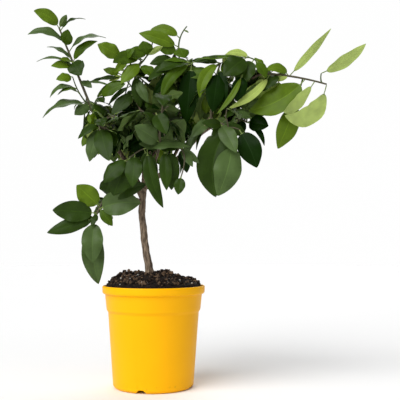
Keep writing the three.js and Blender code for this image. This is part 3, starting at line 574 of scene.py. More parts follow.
class StageSettings(bpy.types.PropertyGroup):
    """Camera, floor and light"""

    lens: FloatProperty(name="Lens", description="Focal length in mm", default=64.8, min=10)
    floor: colour("Floor", "Colour of the floor", (0.93, 0.93, 0.93))
    backdrop: colour("Backdrop", "Colour of the studio backdrop", (0.985, 0.985, 0.985))
    sky: strength("Sky", "Strength of the light from all round", 0.12)
    key: strength("Key", "Strength of the main light", 3.2)
    fill: strength("Fill", "Strength of the second light", 0.4)
    back: strength("Back", "Strength of the light from behind", 1.3)


def operator_pair(operation):
    """A Math node's operator and its reflected form."""
    def forward(value, other):
        return value.sum(operation, value, other)

    def reflected(value, other):
        return value.sum(operation, other, value)

    return forward, reflected


class Value:
    """A shader socket that can stand in sums, so that a mask is written as it is meant."""

    __add__, __radd__ = operator_pair("ADD")
    __sub__, __rsub__ = operator_pair("SUBTRACT")
    __mul__, __rmul__ = operator_pair("MULTIPLY")

    def __init__(self, finish, socket):
        self.finish = finish
        self.socket = socket

    def sum(self, operation, first, second):
        return self.finish.node("ShaderNodeMath", {"operation": operation}, {0: first, 1: second})

    def above(self, low, high):
        """0 below low, 1 above high, and even between."""
        settings = {"interpolation_type": "SMOOTHSTEP"}
        return self.finish.node("ShaderNodeMapRange", settings, {0: self, 1: low, 2: high})


class Finish:
    """A material, and the ways to build it up."""

    def __init__(self, name, **constants):
        self.material = bpy.data.materials.new(name)
        self.material.use_nodes = True
        self.tree = self.material.node_tree
        self.shader = self.tree.nodes["Principled BSDF"]
        for key, value in constants.items():
            self.socket(key).default_value = value
        self.place = self.node("ShaderNodeTexCoord", output="Object")

    def socket(self, key):
        """The shader's socket of a name written with small letters."""
        return self.shader.inputs[key.replace("_", " ").title().replace("Ior", "IOR")]

    def feed(self, socket, value):
        if isinstance(value, Value):
            self.tree.links.new(value.socket, socket)
        elif socket.type == "RGBA":
            socket.default_value = (*tuple(value)[:3], 1)
        else:
            socket.default_value = value

    def node(self, kind, settings=None, inputs=None, output=0):
        made = self.tree.nodes.new(kind)
        for key, value in (settings or {}).items():
            setattr(made, key, value)
        for key, value in (inputs or {}).items():
            self.feed(made.inputs[key], value)
        return Value(self, made.outputs[output])

    def noise(self, scale, detail=3.0, stretch=(1, 1, 1), shift=0.0):
        """Even cloudy noise from 0 to 1, in steps per metre."""
        mapping = {"Vector": self.place, "Scale": stretch, "Location": (shift, shift, shift)}
        mapped = self.node("ShaderNodeMapping", None, mapping)
        inputs = {"Vector": mapped, "Scale": scale, "Detail": detail}
        return self.node("ShaderNodeTexNoise", None, inputs)

    def mix(self, share, low, high):
        settings = {"data_type": "RGBA"}
        return self.node("ShaderNodeMix", settings, {0: share, 6: low, 7: high}, output=2)

    def height(self):
        return self.node("ShaderNodeSeparateXYZ", None, {0: self.place}, output=2)

    def bump(self, relief, strength, distance):
        inputs = {"Strength": strength, "Distance": distance, "Height": relief}
        return self.node("ShaderNodeBump", None, inputs)

    def done(self, **links):
        for key, value in links.items():
            self.feed(self.socket(key), value)
        return self.material


def shade(value, factor):
    """A colour made lighter or darker."""
    return tuple(min(1.0, part * factor) for part in value[:3])


def plastic_finish(settings):
    """Moulded plastic with a soft sheen, faint scuffs and a little dirt at the foot."""
    finish = Finish("yellow_plastic", specular_ior_level=0.12)
    cloud = finish.noise(14, 3)
    grain = finish.noise(900, 2)
    streak = finish.noise(160, 3, (1, 1, 0.06), 4)
    low = 1 - finish.height().above(0.001, 0.02)
    dirt = low * finish.noise(240, 4, shift=9).above(0.6, 0.74)
    base = finish.mix(cloud, shade(settings.plastic, 0.93), shade(settings.plastic, 1.06))
    base = finish.mix(dirt * 0.45, base, srgb(120, 84, 40))
    return finish.done(
        base_color=base,
        roughness=0.34 + 0.14 * streak + 0.1 * dirt,
        normal=finish.bump(grain, 0.12, 0.0003),
    )


def soil_finish(name, base, roughness=0.95):
    """Damp crumbly matter."""
    finish = Finish(name, specular_ior_level=0.2)
    cloud = finish.noise(130, 4)
    grain = finish.noise(1400, 3)
    return finish.done(
        base_color=finish.mix(cloud.above(0.3, 0.7), shade(base, 0.4), shade(base, 1.5)),
        roughness=roughness - 0.25 * grain.above(0.6, 0.75),
        normal=finish.bump(grain, 0.6, 0.0008),
    )


def bark_finish(settings):
    """Grey-brown young bark with lengthwise furrows and small pale pores."""
    finish = Finish("bark", roughness=0.85)
    furrow = finish.noise(330, 5, (1, 1, 0.22)).above(0.36, 0.66)
    cloud = finish.noise(60, 3, shift=2)
    pore = finish.noise(700, 1, (1, 1, 2.2), 7).above(0.66, 0.74)
    base = finish.mix(furrow, settings.furrow, settings.ridge)
    base = finish.mix(cloud.above(0.5, 0.8) * 0.5, base, shade(settings.ridge, 0.75))
    base = finish.mix(pore * 0.6, base, shade(settings.ridge, 1.35))
    return finish.done(
        base_color=base,
        roughness=0.9 - 0.2 * furrow,
        normal=finish.bump(furrow + pore * 0.4, 0.5, 0.0006),
    )


def twig_finish(name, base):
    """Thin bark of twigs and shoots."""
    finish = Finish(name, roughness=0.6)
    streak = finish.noise(420, 3, (1, 1, 0.3))
    return finish.done(
        base_color=finish.mix(streak, shade(base, 0.7), shade(base, 1.3)),
        roughness=0.5 + 0.2 * streak,
        normal=finish.bump(streak, 0.3, 0.0003),
    )


def leaf_finish(name, base, gloss, sheen):
    """A leaf's skin: patches of tone, faint veins and a waxy sheen."""
    finish = Finish(name, specular_ior_level=sheen)
    patch = finish.noise(34, 3)
    vein = finish.noise(190, 2, shift=3)
    base_mix = finish.mix(patch.above(0.3, 0.7), shade(base, 0.85), shade(base, 1.15))
    return finish.done(
        base_color=finish.mix(vein.above(0.5, 0.75) * 0.2, base_mix, shade(base, 1.3)),
        roughness=gloss + 0.12 * vein + 0.1 * patch,
        normal=finish.bump(vein, 0.12, 0.0004),
    )


class Joined:
    """Points and faces gathered for one mesh, with a material number for each face."""

    def __init__(self):
        self.points = []
        self.faces = []
        self.marks = []
        self.count = 0

    def add(self, points, faces, marks):
        """Points, and faces as arrays of corners, each with one mark or a mark for each face."""
        self.points.append(np.asarray(points, float))
        for group, mark in zip(faces, marks):
            self.faces.append(group + self.count)
            self.marks.append(np.broadcast_to(mark, len(group)))
        self.count += len(points)

    def skin(self, rings, mark=0, end_mark=None):
        """A closed skin over rings, with one mark or another one for its last end."""
        points, *faces = loft(rings)
        self.add(points, faces, (mark, mark, mark if end_mark is None else end_mark))

    def piece(self, name, materials, nodes, scale=MM, crease=55):
        """The finished object, on the part's own body and in place of the stated nodes."""
        corners = np.concatenate([group.ravel() for group in self.faces]).astype(np.int32)
        totals = np.concatenate([np.full(len(group), group.shape[1]) for group in self.faces])
        starts = (np.cumsum(totals) - totals).astype(np.int32)
        marks = np.concatenate(self.marks).astype(np.int32)
        mesh = bpy.data.meshes.new(name)
        mesh.vertices.add(self.count)
        mesh.vertices.foreach_set("co", (np.concatenate(self.points) * scale).ravel())
        mesh.loops.add(len(corners))
        mesh.loops.foreach_set("vertex_index", corners)
        mesh.polygons.add(len(totals))
        mesh.polygons.foreach_set("loop_start", starts)
        mesh.polygons.foreach_set("material_index", marks)
        mesh.polygons.foreach_set("use_smooth", np.ones(len(totals), bool))
        mesh.update(calc_edges=True)
        if mesh.validate():
            raise RuntimeError(f"{name} has faces that don't hold together")
        mesh.set_sharp_from_angle(angle=math.radians(crease))
        for material in materials:
            mesh.materials.append(material)
        made = bpy.data.objects.new(name, mesh)
        bpy.context.scene.collection.objects.link(made)
        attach(made, "root")
        if nodes:
            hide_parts(*nodes)
        return made


def loft(rings):
    """Points and faces of a closed skin over rings of like count, with middles at its ends."""
    rings = np.asarray(rings, float)
    rows, sides = rings.shape[:2]
    points = np.concatenate([rings.reshape(-1, 3), [rings[0].mean(0)], [rings[-1].mean(0)]])
    row, side = np.meshgrid(np.arange(rows - 1), np.arange(sides), indexing="ij")
    after = (side + 1) % sides
    here, above = row * sides, (row + 1) * sides
    quads = np.stack([here + side, here + after, above + after, above + side], axis=-1)
    edge = np.arange(sides)
    turn = (edge + 1) % sides
    last = (rows - 1) * sides
    start = np.stack([np.full(sides, rows * sides), turn, edge], axis=-1)
    end = np.stack([last + edge, last + turn, np.full(sides, rows * sides + 1)], axis=-1)
    return points, quads.reshape(-1, 4), start, end


def halved(quads):
    """Quads split in two so that a thin blade's upper and under side share their diagonals."""
    side = np.arange(len(quads)) % LEAF_SIDES
    top = quads[:, [0, 1, 2, 0, 2, 3]]
    under = quads[:, [0, 1, 3, 1, 2, 3]]
    return np.where((side < len(TOP_COLUMNS) - 1)[:, None], top, under).reshape(-1, 3)


def unit(value):
    """A direction made one long."""
    return value / np.linalg.norm(value)


def turns(sides):
    """Angles that go once round."""
    return [side / sides * 2 * math.pi for side in range(sides)]


def disc_spot(radius, angle):
    """The x and y of a place round the upright, counted from the front."""
    return radius * math.sin(angle), -radius * math.cos(angle)


def seeded_random(seed):
    """Repeatable numbers from 0 to 1, the same as the part's."""
    word = 0xFFFFFFFF
    state = seed & word

    def draw():
        nonlocal state
        state = (state + 0x6D2B79F5) & word
        mixed = ((state ^ (state >> 15)) * (1 | state)) & word
        mixed = ((mixed + (((mixed ^ (mixed >> 7)) * (61 | mixed)) & word)) & word) ^ mixed
        return ((mixed ^ (mixed >> 14)) & word) / (word + 1)

    return draw


class Bend:
    """A curve from one point by another to a third."""

    def __init__(self, start, by, tip):
        self.start = np.asarray(start, float)
        self.tip = np.asarray(tip, float)
        self.control = 2 * np.asarray(by, float) - (self.start + self.tip) / 2

    def point(self, share):
        rest = 1 - share
        ends = rest * rest * self.start + 2 * rest * share * self.control
        return ends + share * share * self.tip

    def tangent(self, share):
        return unit((1 - share) * (self.control - self.start) + share * (self.tip - self.control))


class Spline:
    """A smooth curve through points."""

    def __init__(self, points):
        points = np.asarray(points, float)
        before = 2 * points[0] - points[1]
        after = 2 * points[-1] - points[-2]
        self.points = np.vstack([before, points, after])
        self.spans = len(points) - 1

    def point(self, share):
        place = min(max(share, 0), 1) * self.spans
        span = min(int(place), self.spans - 1)
        part = place - span
        one, two, three, four = self.points[span:span + 4]
        leave = (three - one) / 2
        meet = (four - two) / 2
        return (
            (2 * part ** 3 - 3 * part ** 2 + 1) * two + (part ** 3 - 2 * part ** 2 + part) * leave
            + (3 * part ** 2 - 2 * part ** 3) * three + (part ** 3 - part ** 2) * meet
        )

    def tangent(self, share):
        return unit(self.point(share + 0.001) - self.point(share - 0.001))


def limb_rings(curve, radius_at, sides, steps, relief):
    """Rings round a curve, with bark relief in the surface."""
    rings = []
    across = unit(np.cross((0, 1, 0), curve.tangent(0)))
    for step in range(steps + 1):
        share = step / steps
        along = curve.tangent(share)
        across = unit(across - along * (across @ along))
        beside = np.cross(along, across)
        centre = curve.point(share)
        radius = radius_at(share)
        ring = []
        for angle in turns(sides):
            out = across * math.cos(angle) + beside * math.sin(angle)
            spot = centre + out * radius
            furrow = noise.noise(Vector(spot * FURROW_SCALE))
            lump = noise.noise(Vector(spot * LUMP_SCALE))
            grain = noise.noise(Vector(spot * GRAIN_SCALE))
            rise = relief * (furrow * FURROW_RISE + grain * GRAIN_RISE) + lump * radius * LUMP_RISE
            ring.append(centre + out * (radius + rise))
        rings.append(ring)
    return rings


def taper(first, last):
    """The radius at a share of a length that thins evenly."""
    return lambda share: first + (last - first) * share


def drawn(random, span):
    """A number drawn from a least value and a spread."""
    return span[0] + span[1] * random()


def trunk_radius(share):
    """The trunk's radius at a share of its length."""
    place = share * (len(TRUNK) - 1)
    below = min(int(place), len(TRUNK) - 2)
    return TRUNK[below][3] + (TRUNK[below + 1][3] - TRUNK[below][3]) * (place - below)


def limb_curves():
    """The trunk's and the boughs' curves and radii, by name."""
    limbs = {"trunk": (Spline([row[:3] for row in TRUNK]), trunk_radius)}
    for name, parent, share, by, tip, radii in BOUGHS:
        start = limbs[parent][0].point(share)
        limbs[name] = (Bend(start, by, tip), taper(*radii))
    return limbs


def shown_leaf(curve, place, x, y, z, face, wide, tone, arch=0.1, sway=0):
    """One leaf that stands clear of the rest."""
    way, face = np.array(((x, y, z), FACES[face]), float)
    return Leaf(curve.point(place), way, face, arch, wide, sway, tone)


def rule_leaf(mass, curve, share, count, twig, random, last):
    """One leaf of the rule: it splays from its twig at a turning angle and hangs."""
    along = curve.tangent(share)
    across = unit(np.cross((0, 0, 1), along))
    beside = np.cross(along, across)
    angle = math.radians(LEAF_TURN * count) + twig + random()
    splay = LEAF_END_SPLAY if last else LEAF_SPLAY * drawn(random, SPLAY_SPAN)
    round_twig = across * math.cos(angle) + beside * math.sin(angle)
    way = along * math.cos(splay) + math.sin(splay) * round_twig
    way[2] -= mass.hang * drawn(random, HANG_SPAN)
    way = unit(way) * mass.leaf * drawn(random, SIZE_SPAN)
    base = curve.point(share)
    outward = base - np.array(mass.centre, float)
    outward[2] = 0
    face = np.array((0, 0, 1.0)) + unit(outward) * LEAF_OUTWARD + across * (random() - 0.5)
    return Leaf(base, way, face, drawn(random, ARCH_SPAN), drawn(random, WIDTH_SPAN), 0, None)


def in_opening(points):
    """Whether any of the points stands in an opening of the crown, as seen from the front eye."""
    for point in points:
        x, z = flat_spot(point)
        for middle_x, middle_z, wide, high in OPENINGS:
            if ((x - middle_x) / wide) ** 2 + ((z - middle_z) / high) ** 2 < 1:
                return True
    return False


def flat_spot(point):
    """A point as the front eye sees it on the plane through the trunk."""
    eye_x, eye_y = FRONT_EYE
    near = eye_y / (eye_y - point[1])
    x = eye_x + (point[0] - eye_x) * near
    z = EYE_HEIGHT + (point[2] - EYE_HEIGHT) * near
    return np.array((x, z))


def clear_spots(limbs):
    """Spots along every leaf that stands clear, each with the room that it keeps free in front."""
    spots = []
    for mass in MASSES:
        for twig in shown_twigs(mass, limbs[mass.bough]):
            for leaf in twig.leaves:
                half = leaf.wide * np.linalg.norm(leaf.way) / 2
                for share in CLEAR_PLACES:
                    spot = leaf.base + leaf.way * share
                    spots.append((*flat_spot(spot), spot[1], half * CLEAR_SHARE + CLEAR_ROOM))
    return np.array(spots)


def hides_clear_leaf(points, clear):
    """Whether any of the points stands in front of a leaf that the photo shows clear."""
    for point in points:
        off = clear[:, :2] - flat_spot(point)
        near = off[:, 0] ** 2 + off[:, 1] ** 2 < clear[:, 3] ** 2
        if np.any(near & (point[1] < clear[:, 2] + CLEAR_DEPTH)):
            return True
    return False


def fit_leaf(leaf, mass, middles):
    """The leaf, shortened as far as space and neighbours ask, or None where it can't stay."""
    for shorter in LEAF_SHORTER:
        way = leaf.way * shorter
        middle = leaf.base + way * LEAF_MIDDLE
        off = (leaf.base + way - mass.centre) / mass.reach
        room = LEAF_CROWDING * np.linalg.norm(way)
        clear = all(np.linalg.norm(other - middle) > room for other in middles)
        aside = np.cross(way, unit(leaf.face)) * leaf.wide * LEAF_ASIDE
        spots = [leaf.base + way * share for share in FIT_PLACES]
        spots += [middle + aside, middle - aside]
        kept = off @ off <= 1 and clear and not in_opening(spots)
        if kept and not hides_clear_leaf(spots, mass.clear):
            middles.append(middle)
            return leaf._replace(way=way)
    return None


def fitted_leaves(mass, curve, shares, twig, random, middles):
    """The rule's leaves at the stated shares of a twig, as far as they find room."""
    leaves = []
    for count, share in enumerate(shares):
        leaf = rule_leaf(mass, curve, share, count, twig, random, count == len(shares) - 1)
        leaf = fit_leaf(leaf, mass, middles)
        if leaf:
            leaves.append(leaf)
    return leaves


def fill_twigs(mass, stem, middles):
    """Twigs spread evenly round the middle of a mass's space, with leaves in turn along each."""
    random = seeded_random(mass.seed)
    golden = math.pi * (3 - math.sqrt(5))
    low, high = LEAF_SPAN
    shares = [
        low + (high - low) * (count + 1) / LEAVES_PER_TWIG for count in range(LEAVES_PER_TWIG)
    ]
    twigs = []
    for number in range(mass.twigs):
        rise = 1 - 2 * (number + 0.5) / mass.twigs
        around = math.sqrt(1 - rise * rise)
        heading = golden * number + mass.seed
        outward = np.array((around * math.cos(heading), around * math.sin(heading), rise))
        spread = TWIG_SPREAD * drawn(random, SIZE_SPAN)
        tip = mass.centre + outward * mass.reach * spread
        start = stem.point((TWIG_FIRST + (1 - TWIG_FIRST) * random()) * mass.low)
        by = (start + tip) / 2
        by[2] += TWIG_RISE * np.linalg.norm(tip - start)
        curve = Bend(start, by, tip)
        leaves = fitted_leaves(mass, curve, shares, number, random, middles)
        twigs.append(Twig(curve, (TWIG_RADIUS, TWIG_TIP_RADIUS), leaves))
    return twigs


def side_twigs(mass, twigs, middles):
    """Finer twigs that grow on from the rule's twigs, each with a few smaller leaves."""
    random = seeded_random(mass.seed + SIDE_SEED)
    small = mass._replace(leaf=mass.leaf * SIDE_LEAF)
    shares = [(count + 1) / SIDE_LEAVES * LEAF_SPAN[1] for count in range(SIDE_LEAVES)]
    made = []
    for number, parent in enumerate(twigs):
        for place in SIDE_PLACES:
            along = parent.curve.tangent(place)
            across = unit(np.cross((0, 0, 1), along))
            angle = 2 * math.pi * random()
            aside = across * math.cos(angle) + np.cross(along, across) * math.sin(angle)
            start = parent.curve.point(place)
            size = SIDE_REACH * min(mass.reach) * drawn(random, SIDE_SPAN)
            tip = start + unit(along * SIDE_ALONG + aside + np.array((0, 0, SIDE_RISE))) * size
            by = (start + tip) / 2 + np.array((0, 0, SIDE_BOW * size))
            curve = Bend(start, by, tip)
            leaves = fitted_leaves(small, curve, shares, number, random, middles)
            made.append(Twig(curve, SIDE_RADII, leaves))
    return made


def shown_twigs(mass, limb):
    """The stem and shoots of a mass with the leaves that stand clear."""
    curve, radius_at = limb
    stem = Bend(curve.point(STEM_START), mass.by, mass.tip)
    twigs = [Twig(stem, (radius_at(1), TWIG_RADIUS), [])]
    for row in SHOWN.get(mass.name, ()):
        if len(row) == 3:
            place, by, tip = row
            shoot = Bend(stem.point(place), by, tip)
            twigs.append(Twig(shoot, (TWIG_RADIUS, TWIG_TIP_RADIUS), []))
        else:
            twigs[-1].leaves.append(shown_leaf(twigs[-1].curve, *row))
    return twigs


def grow_mass(mass, limb):
    """The twigs of a mass, without the rule's twigs that bear nothing."""
    twigs = shown_twigs(mass, limb)
    middles = [leaf.base + leaf.way * LEAF_MIDDLE for twig in twigs for leaf in twig.leaves]
    rule = fill_twigs(mass, twigs[0].curve, middles)
    side = side_twigs(mass, rule, middles)
    for number, twig in enumerate(rule):
        first = number * len(SIDE_PLACES)
        if twig.leaves or any(finer.leaves for finer in side[first:first + len(SIDE_PLACES)]):
            twigs.append(twig)
    return twigs + [twig for twig in side if twig.leaves]


def blade_outline(share):
    """Half-width of a blade over its greatest, from its foot at 0 to its point at 1."""
    return math.sin(math.pi * share ** 0.85) ** (0.55 + 0.25 * share)


def leaf_rings(leaf, thickness, random):
    """Rings round a leaf: a round stalk that opens into a folded, gently waved blade."""
    size = np.linalg.norm(leaf.way)
    along = leaf.way / size
    up = unit(leaf.face - along * (leaf.face @ along))
    side = np.cross(along, up)
    loose = LOOSER if leaf.tone is None else 1
    fold = drawn(random, FOLD)
    curl = drawn(random, (CURL[0], CURL[1] * loose))
    wave = drawn(random, WAVE)
    phase = WAVE_TURN * random()
    twist = TWIST * loose * (random() - 0.5)
    angles = np.concatenate([np.linspace(math.pi, 0, 8), -np.linspace(0, math.pi, 8)[1:-1]])
    rings = []
    for share in STALK_ROWS + BLADE_ROWS:
        bow = 4 * share * (1 - share)
        slope = 4 * (1 - 2 * share)
        centre = leaf.base + along * size * share + up * size * leaf.arch * bow
        centre = centre + side * size * leaf.sway * bow
        tangent = unit(along + up * leaf.arch * slope + side * leaf.sway * slope)
        normal = unit(up - tangent * (up @ tangent))
        edge = np.cross(tangent, normal)
        if share in STALK_ROWS:
            radius = STALK_RADIUS * (1.1 - 1.2 * share)
            circle = np.outer(np.cos(angles), edge) + np.outer(np.sin(angles), normal)
            rings.append(centre + radius * circle)
            continue
        turn = twist * share
        edge, normal = (
            edge * math.cos(turn) + normal * math.sin(turn),
            normal * math.cos(turn) - edge * math.sin(turn),
        )
        half = leaf.wide * size * blade_outline((share - PETIOLE_SHARE) / (1 - PETIOLE_SHARE)) / 2
        half = max(LEAST_HALF, half)
        sheets = []
        for columns, face, rib in LEAF_SHEETS:
            columns = np.array(columns)
            out = np.abs(columns)
            body = (1 - columns ** 2) * thickness / 2 + np.where(out < RIB_HALF, rib, 0)
            ripple = wave * np.sin(WAVE_COUNT * share + phase + WAVE_SLANT * columns) * out ** 2
            rise = half * (fold * out - curl * columns ** 2 + ripple) + face * body
            sheets.append(centre + np.outer(half * columns, edge) + np.outer(rise, normal))
        rings.append(np.vstack(sheets))
    return rings


class MakePot(bpy.types.Operator):
    """Turn the moulded pot, with its lip, collar and notched foot"""

    bl_idname = "lemon_tree.make_pot"
    bl_label = "Pot"

    def execute(self, context):
        pot = context.scene.lemon_pot
        rim, collar = pot.rim_radius, pot.collar_radius
        top, foot = pot.body_top_radius, pot.body_foot_radius
        lip_foot = pot.height - pot.lip_height
        collar_foot = lip_foot - pot.collar_height
        floor, floor_top = 0.007, 0.009
        ring_low, ring_high = foot - 0.0104, foot - 0.003
        hub = 0.014
        profile = [
            (0.0, 0.0), (hub, 0.0), (hub + 0.001, floor), (ring_low - 0.0015, floor),
            (ring_low, 0.0), (ring_high, 0.0), (foot, 0.0035), (top, collar_foot - 0.0045),
            (collar - 0.0027, collar_foot), (collar, lip_foot - 0.0015),
            (rim - 0.001, lip_foot), (rim, lip_foot + 0.0025), (rim, pot.height - 0.0015),
            (rim - 0.001, pot.height), (rim - 0.0024, pot.height),
            (rim - 0.0032, pot.height - 0.002), (collar - pot.wall, lip_foot - 0.0015),
            (collar - 0.0027 - pot.wall, collar_foot - 0.0005),
            (top - pot.wall, collar_foot - 0.005), (foot - pot.wall + 0.0004, floor_top + 0.0015),
            (foot - pot.wall - 0.0012, floor_top), (0.0, floor_top),
        ]
        rings = []
        for radius, height in rounded(profile, pot.corner)[1:-1]:
            ring = []
            for angle in turns(POT_SIDES):
                notch = notch_height(radius, angle) if radius > hub * 2 else 0
                ring.append((*disc_spot(radius, angle), max(height, notch)))
            rings.append(ring)
        joined = Joined()
        joined.skin(rings)
        joined.piece("yellow_pot", [plastic_finish(pot)], ["pot"], scale=1, crease=50)
        return {"FINISHED"}


def rounded(profile, corner, steps=4):
    """A profile whose corners are rounded with short arcs."""
    points = [np.array(point, float) for point in profile]
    made = [points[0]]
    for before, here, after in zip(points, points[1:], points[2:]):
        back, ahead = before - here, after - here
        reach = min(corner, 0.45 * np.linalg.norm(back), 0.45 * np.linalg.norm(ahead))
        first, last = here + unit(back) * reach, here + unit(ahead) * reach
        for step in range(steps + 1):
            part = step / steps
            made.append((1 - part) ** 2 * first + 2 * part * (1 - part) * here + part ** 2 * last)
    made.append(points[-1])
    return made


def notch_height(radius, angle):
    """How high the four foot notches reach at a point of the foot."""
    first, high, foot, top = math.radians(-14), 0.0055, 0.0085, 0.0045
    off = (angle - first + math.pi / 4) % (math.pi / 2) - math.pi / 4
    aside = abs(off) * radius
    return high * min(1.0, max(0.0, (foot - aside) / (foot - top)))


def soil_height(x, y):
    """Height of the mounded soil at a place, in millimetres."""
    share = min(1.0, math.hypot(x, y) / SOIL_SHARE_RADIUS)
    height = SOIL_EDGE_HEIGHT + 2 + SOIL_CROWN * (1 - share * share) ** 0.7
    for clod_x, clod_y, width, rise in CLODS:
        height += rise * math.exp(-((x - clod_x) ** 2 + (y - clod_y) ** 2) / width ** 2)
    near = math.hypot(x - TRUNK_FOOT[0], y - TRUNK_FOOT[1])
    patch = max(0.0, min(1.0, (PATCH_REACH - near) / PATCH_BLEND))
    return height + (SOIL_PATCH_HEIGHT - height) * patch


class MakeSoil(bpy.types.Operator):
    """Mound the soil and strew its crumbs, fibre and grit"""

    bl_idname = "lemon_tree.make_soil"
    bl_label = "Soil"

    def execute(self, context):
        soil = context.scene.lemon_soil
        materials = [
            soil_finish("earth", soil.earth), soil_finish("crumb", soil.crumb),
            soil_finish("fibre", soil.fibre), soil_finish("grit", soil.grit, 0.8),
        ]
        mound = Joined()
        mound.skin(soil_rings(soil.relief / MM))
        mound.piece("soil_mound", materials[:1], ["soil"], crease=180)
        crumbs = Joined()
        lumps = crumb_shapes()
        random = np.random.default_rng(CRUMB_SEED)
        for _ in range(soil.crumbs):
            radius = (SOIL_EDGE_RADIUS - CRUMB_EDGE) * math.sqrt(random.random())
            x, y = disc_spot(radius, 2 * math.pi * random.random())
            if math.hypot(x - TRUNK_FOOT[0], y - TRUNK_FOOT[1]) < CRUMB_TRUNK:
                continue
            size = CRUMB_SIZE + CRUMB_SPREAD * random.random() ** 3
            chance = random.random()
            kind = sum(chance >= share for share in CRUMB_SHARES)
            stretch = np.array(CRUMB_STRETCH) * size * (GRIT_SHARE if kind == GRIT else 1)
            if kind == FIBRE:
                size = min(size, FIBRE_SIZE)
                stretch = np.array(FIBRE_STRETCH) * size
                x, y = FIBRE_INSIDE * x, FIBRE_INSIDE * y
            points, faces = lumps[random.integers(len(lumps))]
            turned = (points * stretch) @ random_turn(random, flat=kind == FIBRE).T
            spot = np.array((x, y, soil_height(x, y) + CRUMB_RISE * size))
            crumbs.add(turned + spot, (faces,), (kind,))
        crumbs.piece("soil_crumbs", materials, [], crease=50)
        return {"FINISHED"}


def soil_rings(relief):
    """Rings of the mound, from its foot inside the pot up and in to the middle."""
    rings = []
    for inset, height in ((4, SOIL_FOOT_HEIGHT), (2, SOIL_EDGE_HEIGHT - 12)):
        radius = SOIL_EDGE_RADIUS - inset
        rings.append([(*disc_spot(radius, angle), height) for angle in turns(SOIL_SIDES)])
    for radius in np.linspace(SOIL_EDGE_RADIUS, 1.2, SOIL_RINGS):
        ring = []
        for angle in turns(SOIL_SIDES):
            x, y = disc_spot(radius, angle)
            place = Vector((x * SOIL_ROUGH_SCALE, y * SOIL_ROUGH_SCALE, 0))
            rough = noise.fractal(place, 0.7, 2.2, 5)
            ring.append((x, y, soil_height(x, y) + relief * rough))
        rings.append(ring)
    return rings


def crumb_shapes():
    """A few uneven lumps with a radius of about one, each as points and faces."""
    shapes = []
    for number in range(CRUMB_LUMPS):
        ball = bmesh.new()
        bmesh.ops.create_icosphere(ball, subdivisions=2, radius=1)
        points = []
        for vertex in ball.verts:
            rough = noise.fractal(vertex.co * 1.6 + Vector((number * 7.3, 0, 0)), 0.8, 2.2, 3)
            points.append(vertex.co * (1 + CRUMB_ROUGHNESS * rough))
        faces = [[vertex.index for vertex in face.verts] for face in ball.faces]
        shapes.append((np.array(points), np.array(faces)))
        ball.free()
    return shapes


def random_turn(random, flat=False):
    """A rotation drawn at random, or one about the upright with a slight tilt."""
    if flat:
        angle, tilt = 2 * math.pi * random.random(), 0.5 * (random.random() - 0.5)
        sin, cos = math.sin, math.cos
        turn = np.array([[cos(angle), -sin(angle), 0], [sin(angle), cos(angle), 0], [0, 0, 1]])
        lean = np.array([[cos(tilt), 0, sin(tilt)], [0, 1, 0], [-sin(tilt), 0, cos(tilt)]])
        return turn @ lean
    made, _ = np.linalg.qr(random.normal(size=(3, 3)))
    return made * np.sign(np.linalg.det(made))


class MakeTrunk(bpy.types.Operator):
    """Grow the trunk with its relief, its flare and its cut-off branch"""

    bl_idname = "lemon_tree.make_trunk"
    bl_label = "Trunk"

    def execute(self, context):
        bark = context.scene.lemon_bark
        curve, radius_at = limb_curves()["trunk"]

        def flared(share):
            lobes = 0.0 if share > FLARE_SHARE else (FLARE_SHARE - share) * 10
            return radius_at(share) * (1 + 0.12 * lobes)

        joined = Joined()
        joined.skin(limb_rings(curve, flared, sides=36, steps=170, relief=bark.relief / MM))
        first, last, radius = STUB
        stub = Bend(first, (np.array(first) + np.array(last)) / 2, last)
        thinned = taper(radius * 1.2, radius)
        joined.skin(limb_rings(stub, thinned, sides=16, steps=8, relief=STUB_RELIEF), end_mark=1)
        cut = soil_finish("cut_wood", bark.cut, 0.8)
        joined.piece("trunk_bark", [bark_finish(bark), cut], ["trunk"], crease=60)
        return {"FINISHED"}


class MakeBoughs(bpy.types.Operator):
    """Grow the boughs with their relief"""

    bl_idname = "lemon_tree.make_boughs"
    bl_label = "Boughs"

    def execute(self, context):
        bark = context.scene.lemon_bark
        limbs = limb_curves()
        names = [row[0] for row in BOUGHS]
        joined = Joined()
        for curve, radius_at in (limbs[name] for name in names):

            def collared(share, radius_at=radius_at):
                return radius_at(share) * (1 + COLLAR * math.exp(-share * COLLAR_FALL))

            steps = int(np.linalg.norm(curve.tip - curve.start) / BOUGH_STEP)
            relief = bark.relief / MM * BOUGH_RELIEF_SHARE
            joined.skin(limb_rings(curve, collared, sides=20, steps=steps, relief=relief))
        joined.piece("bough_bark", [bark_finish(bark)], names, crease=60)
        return {"FINISHED"}


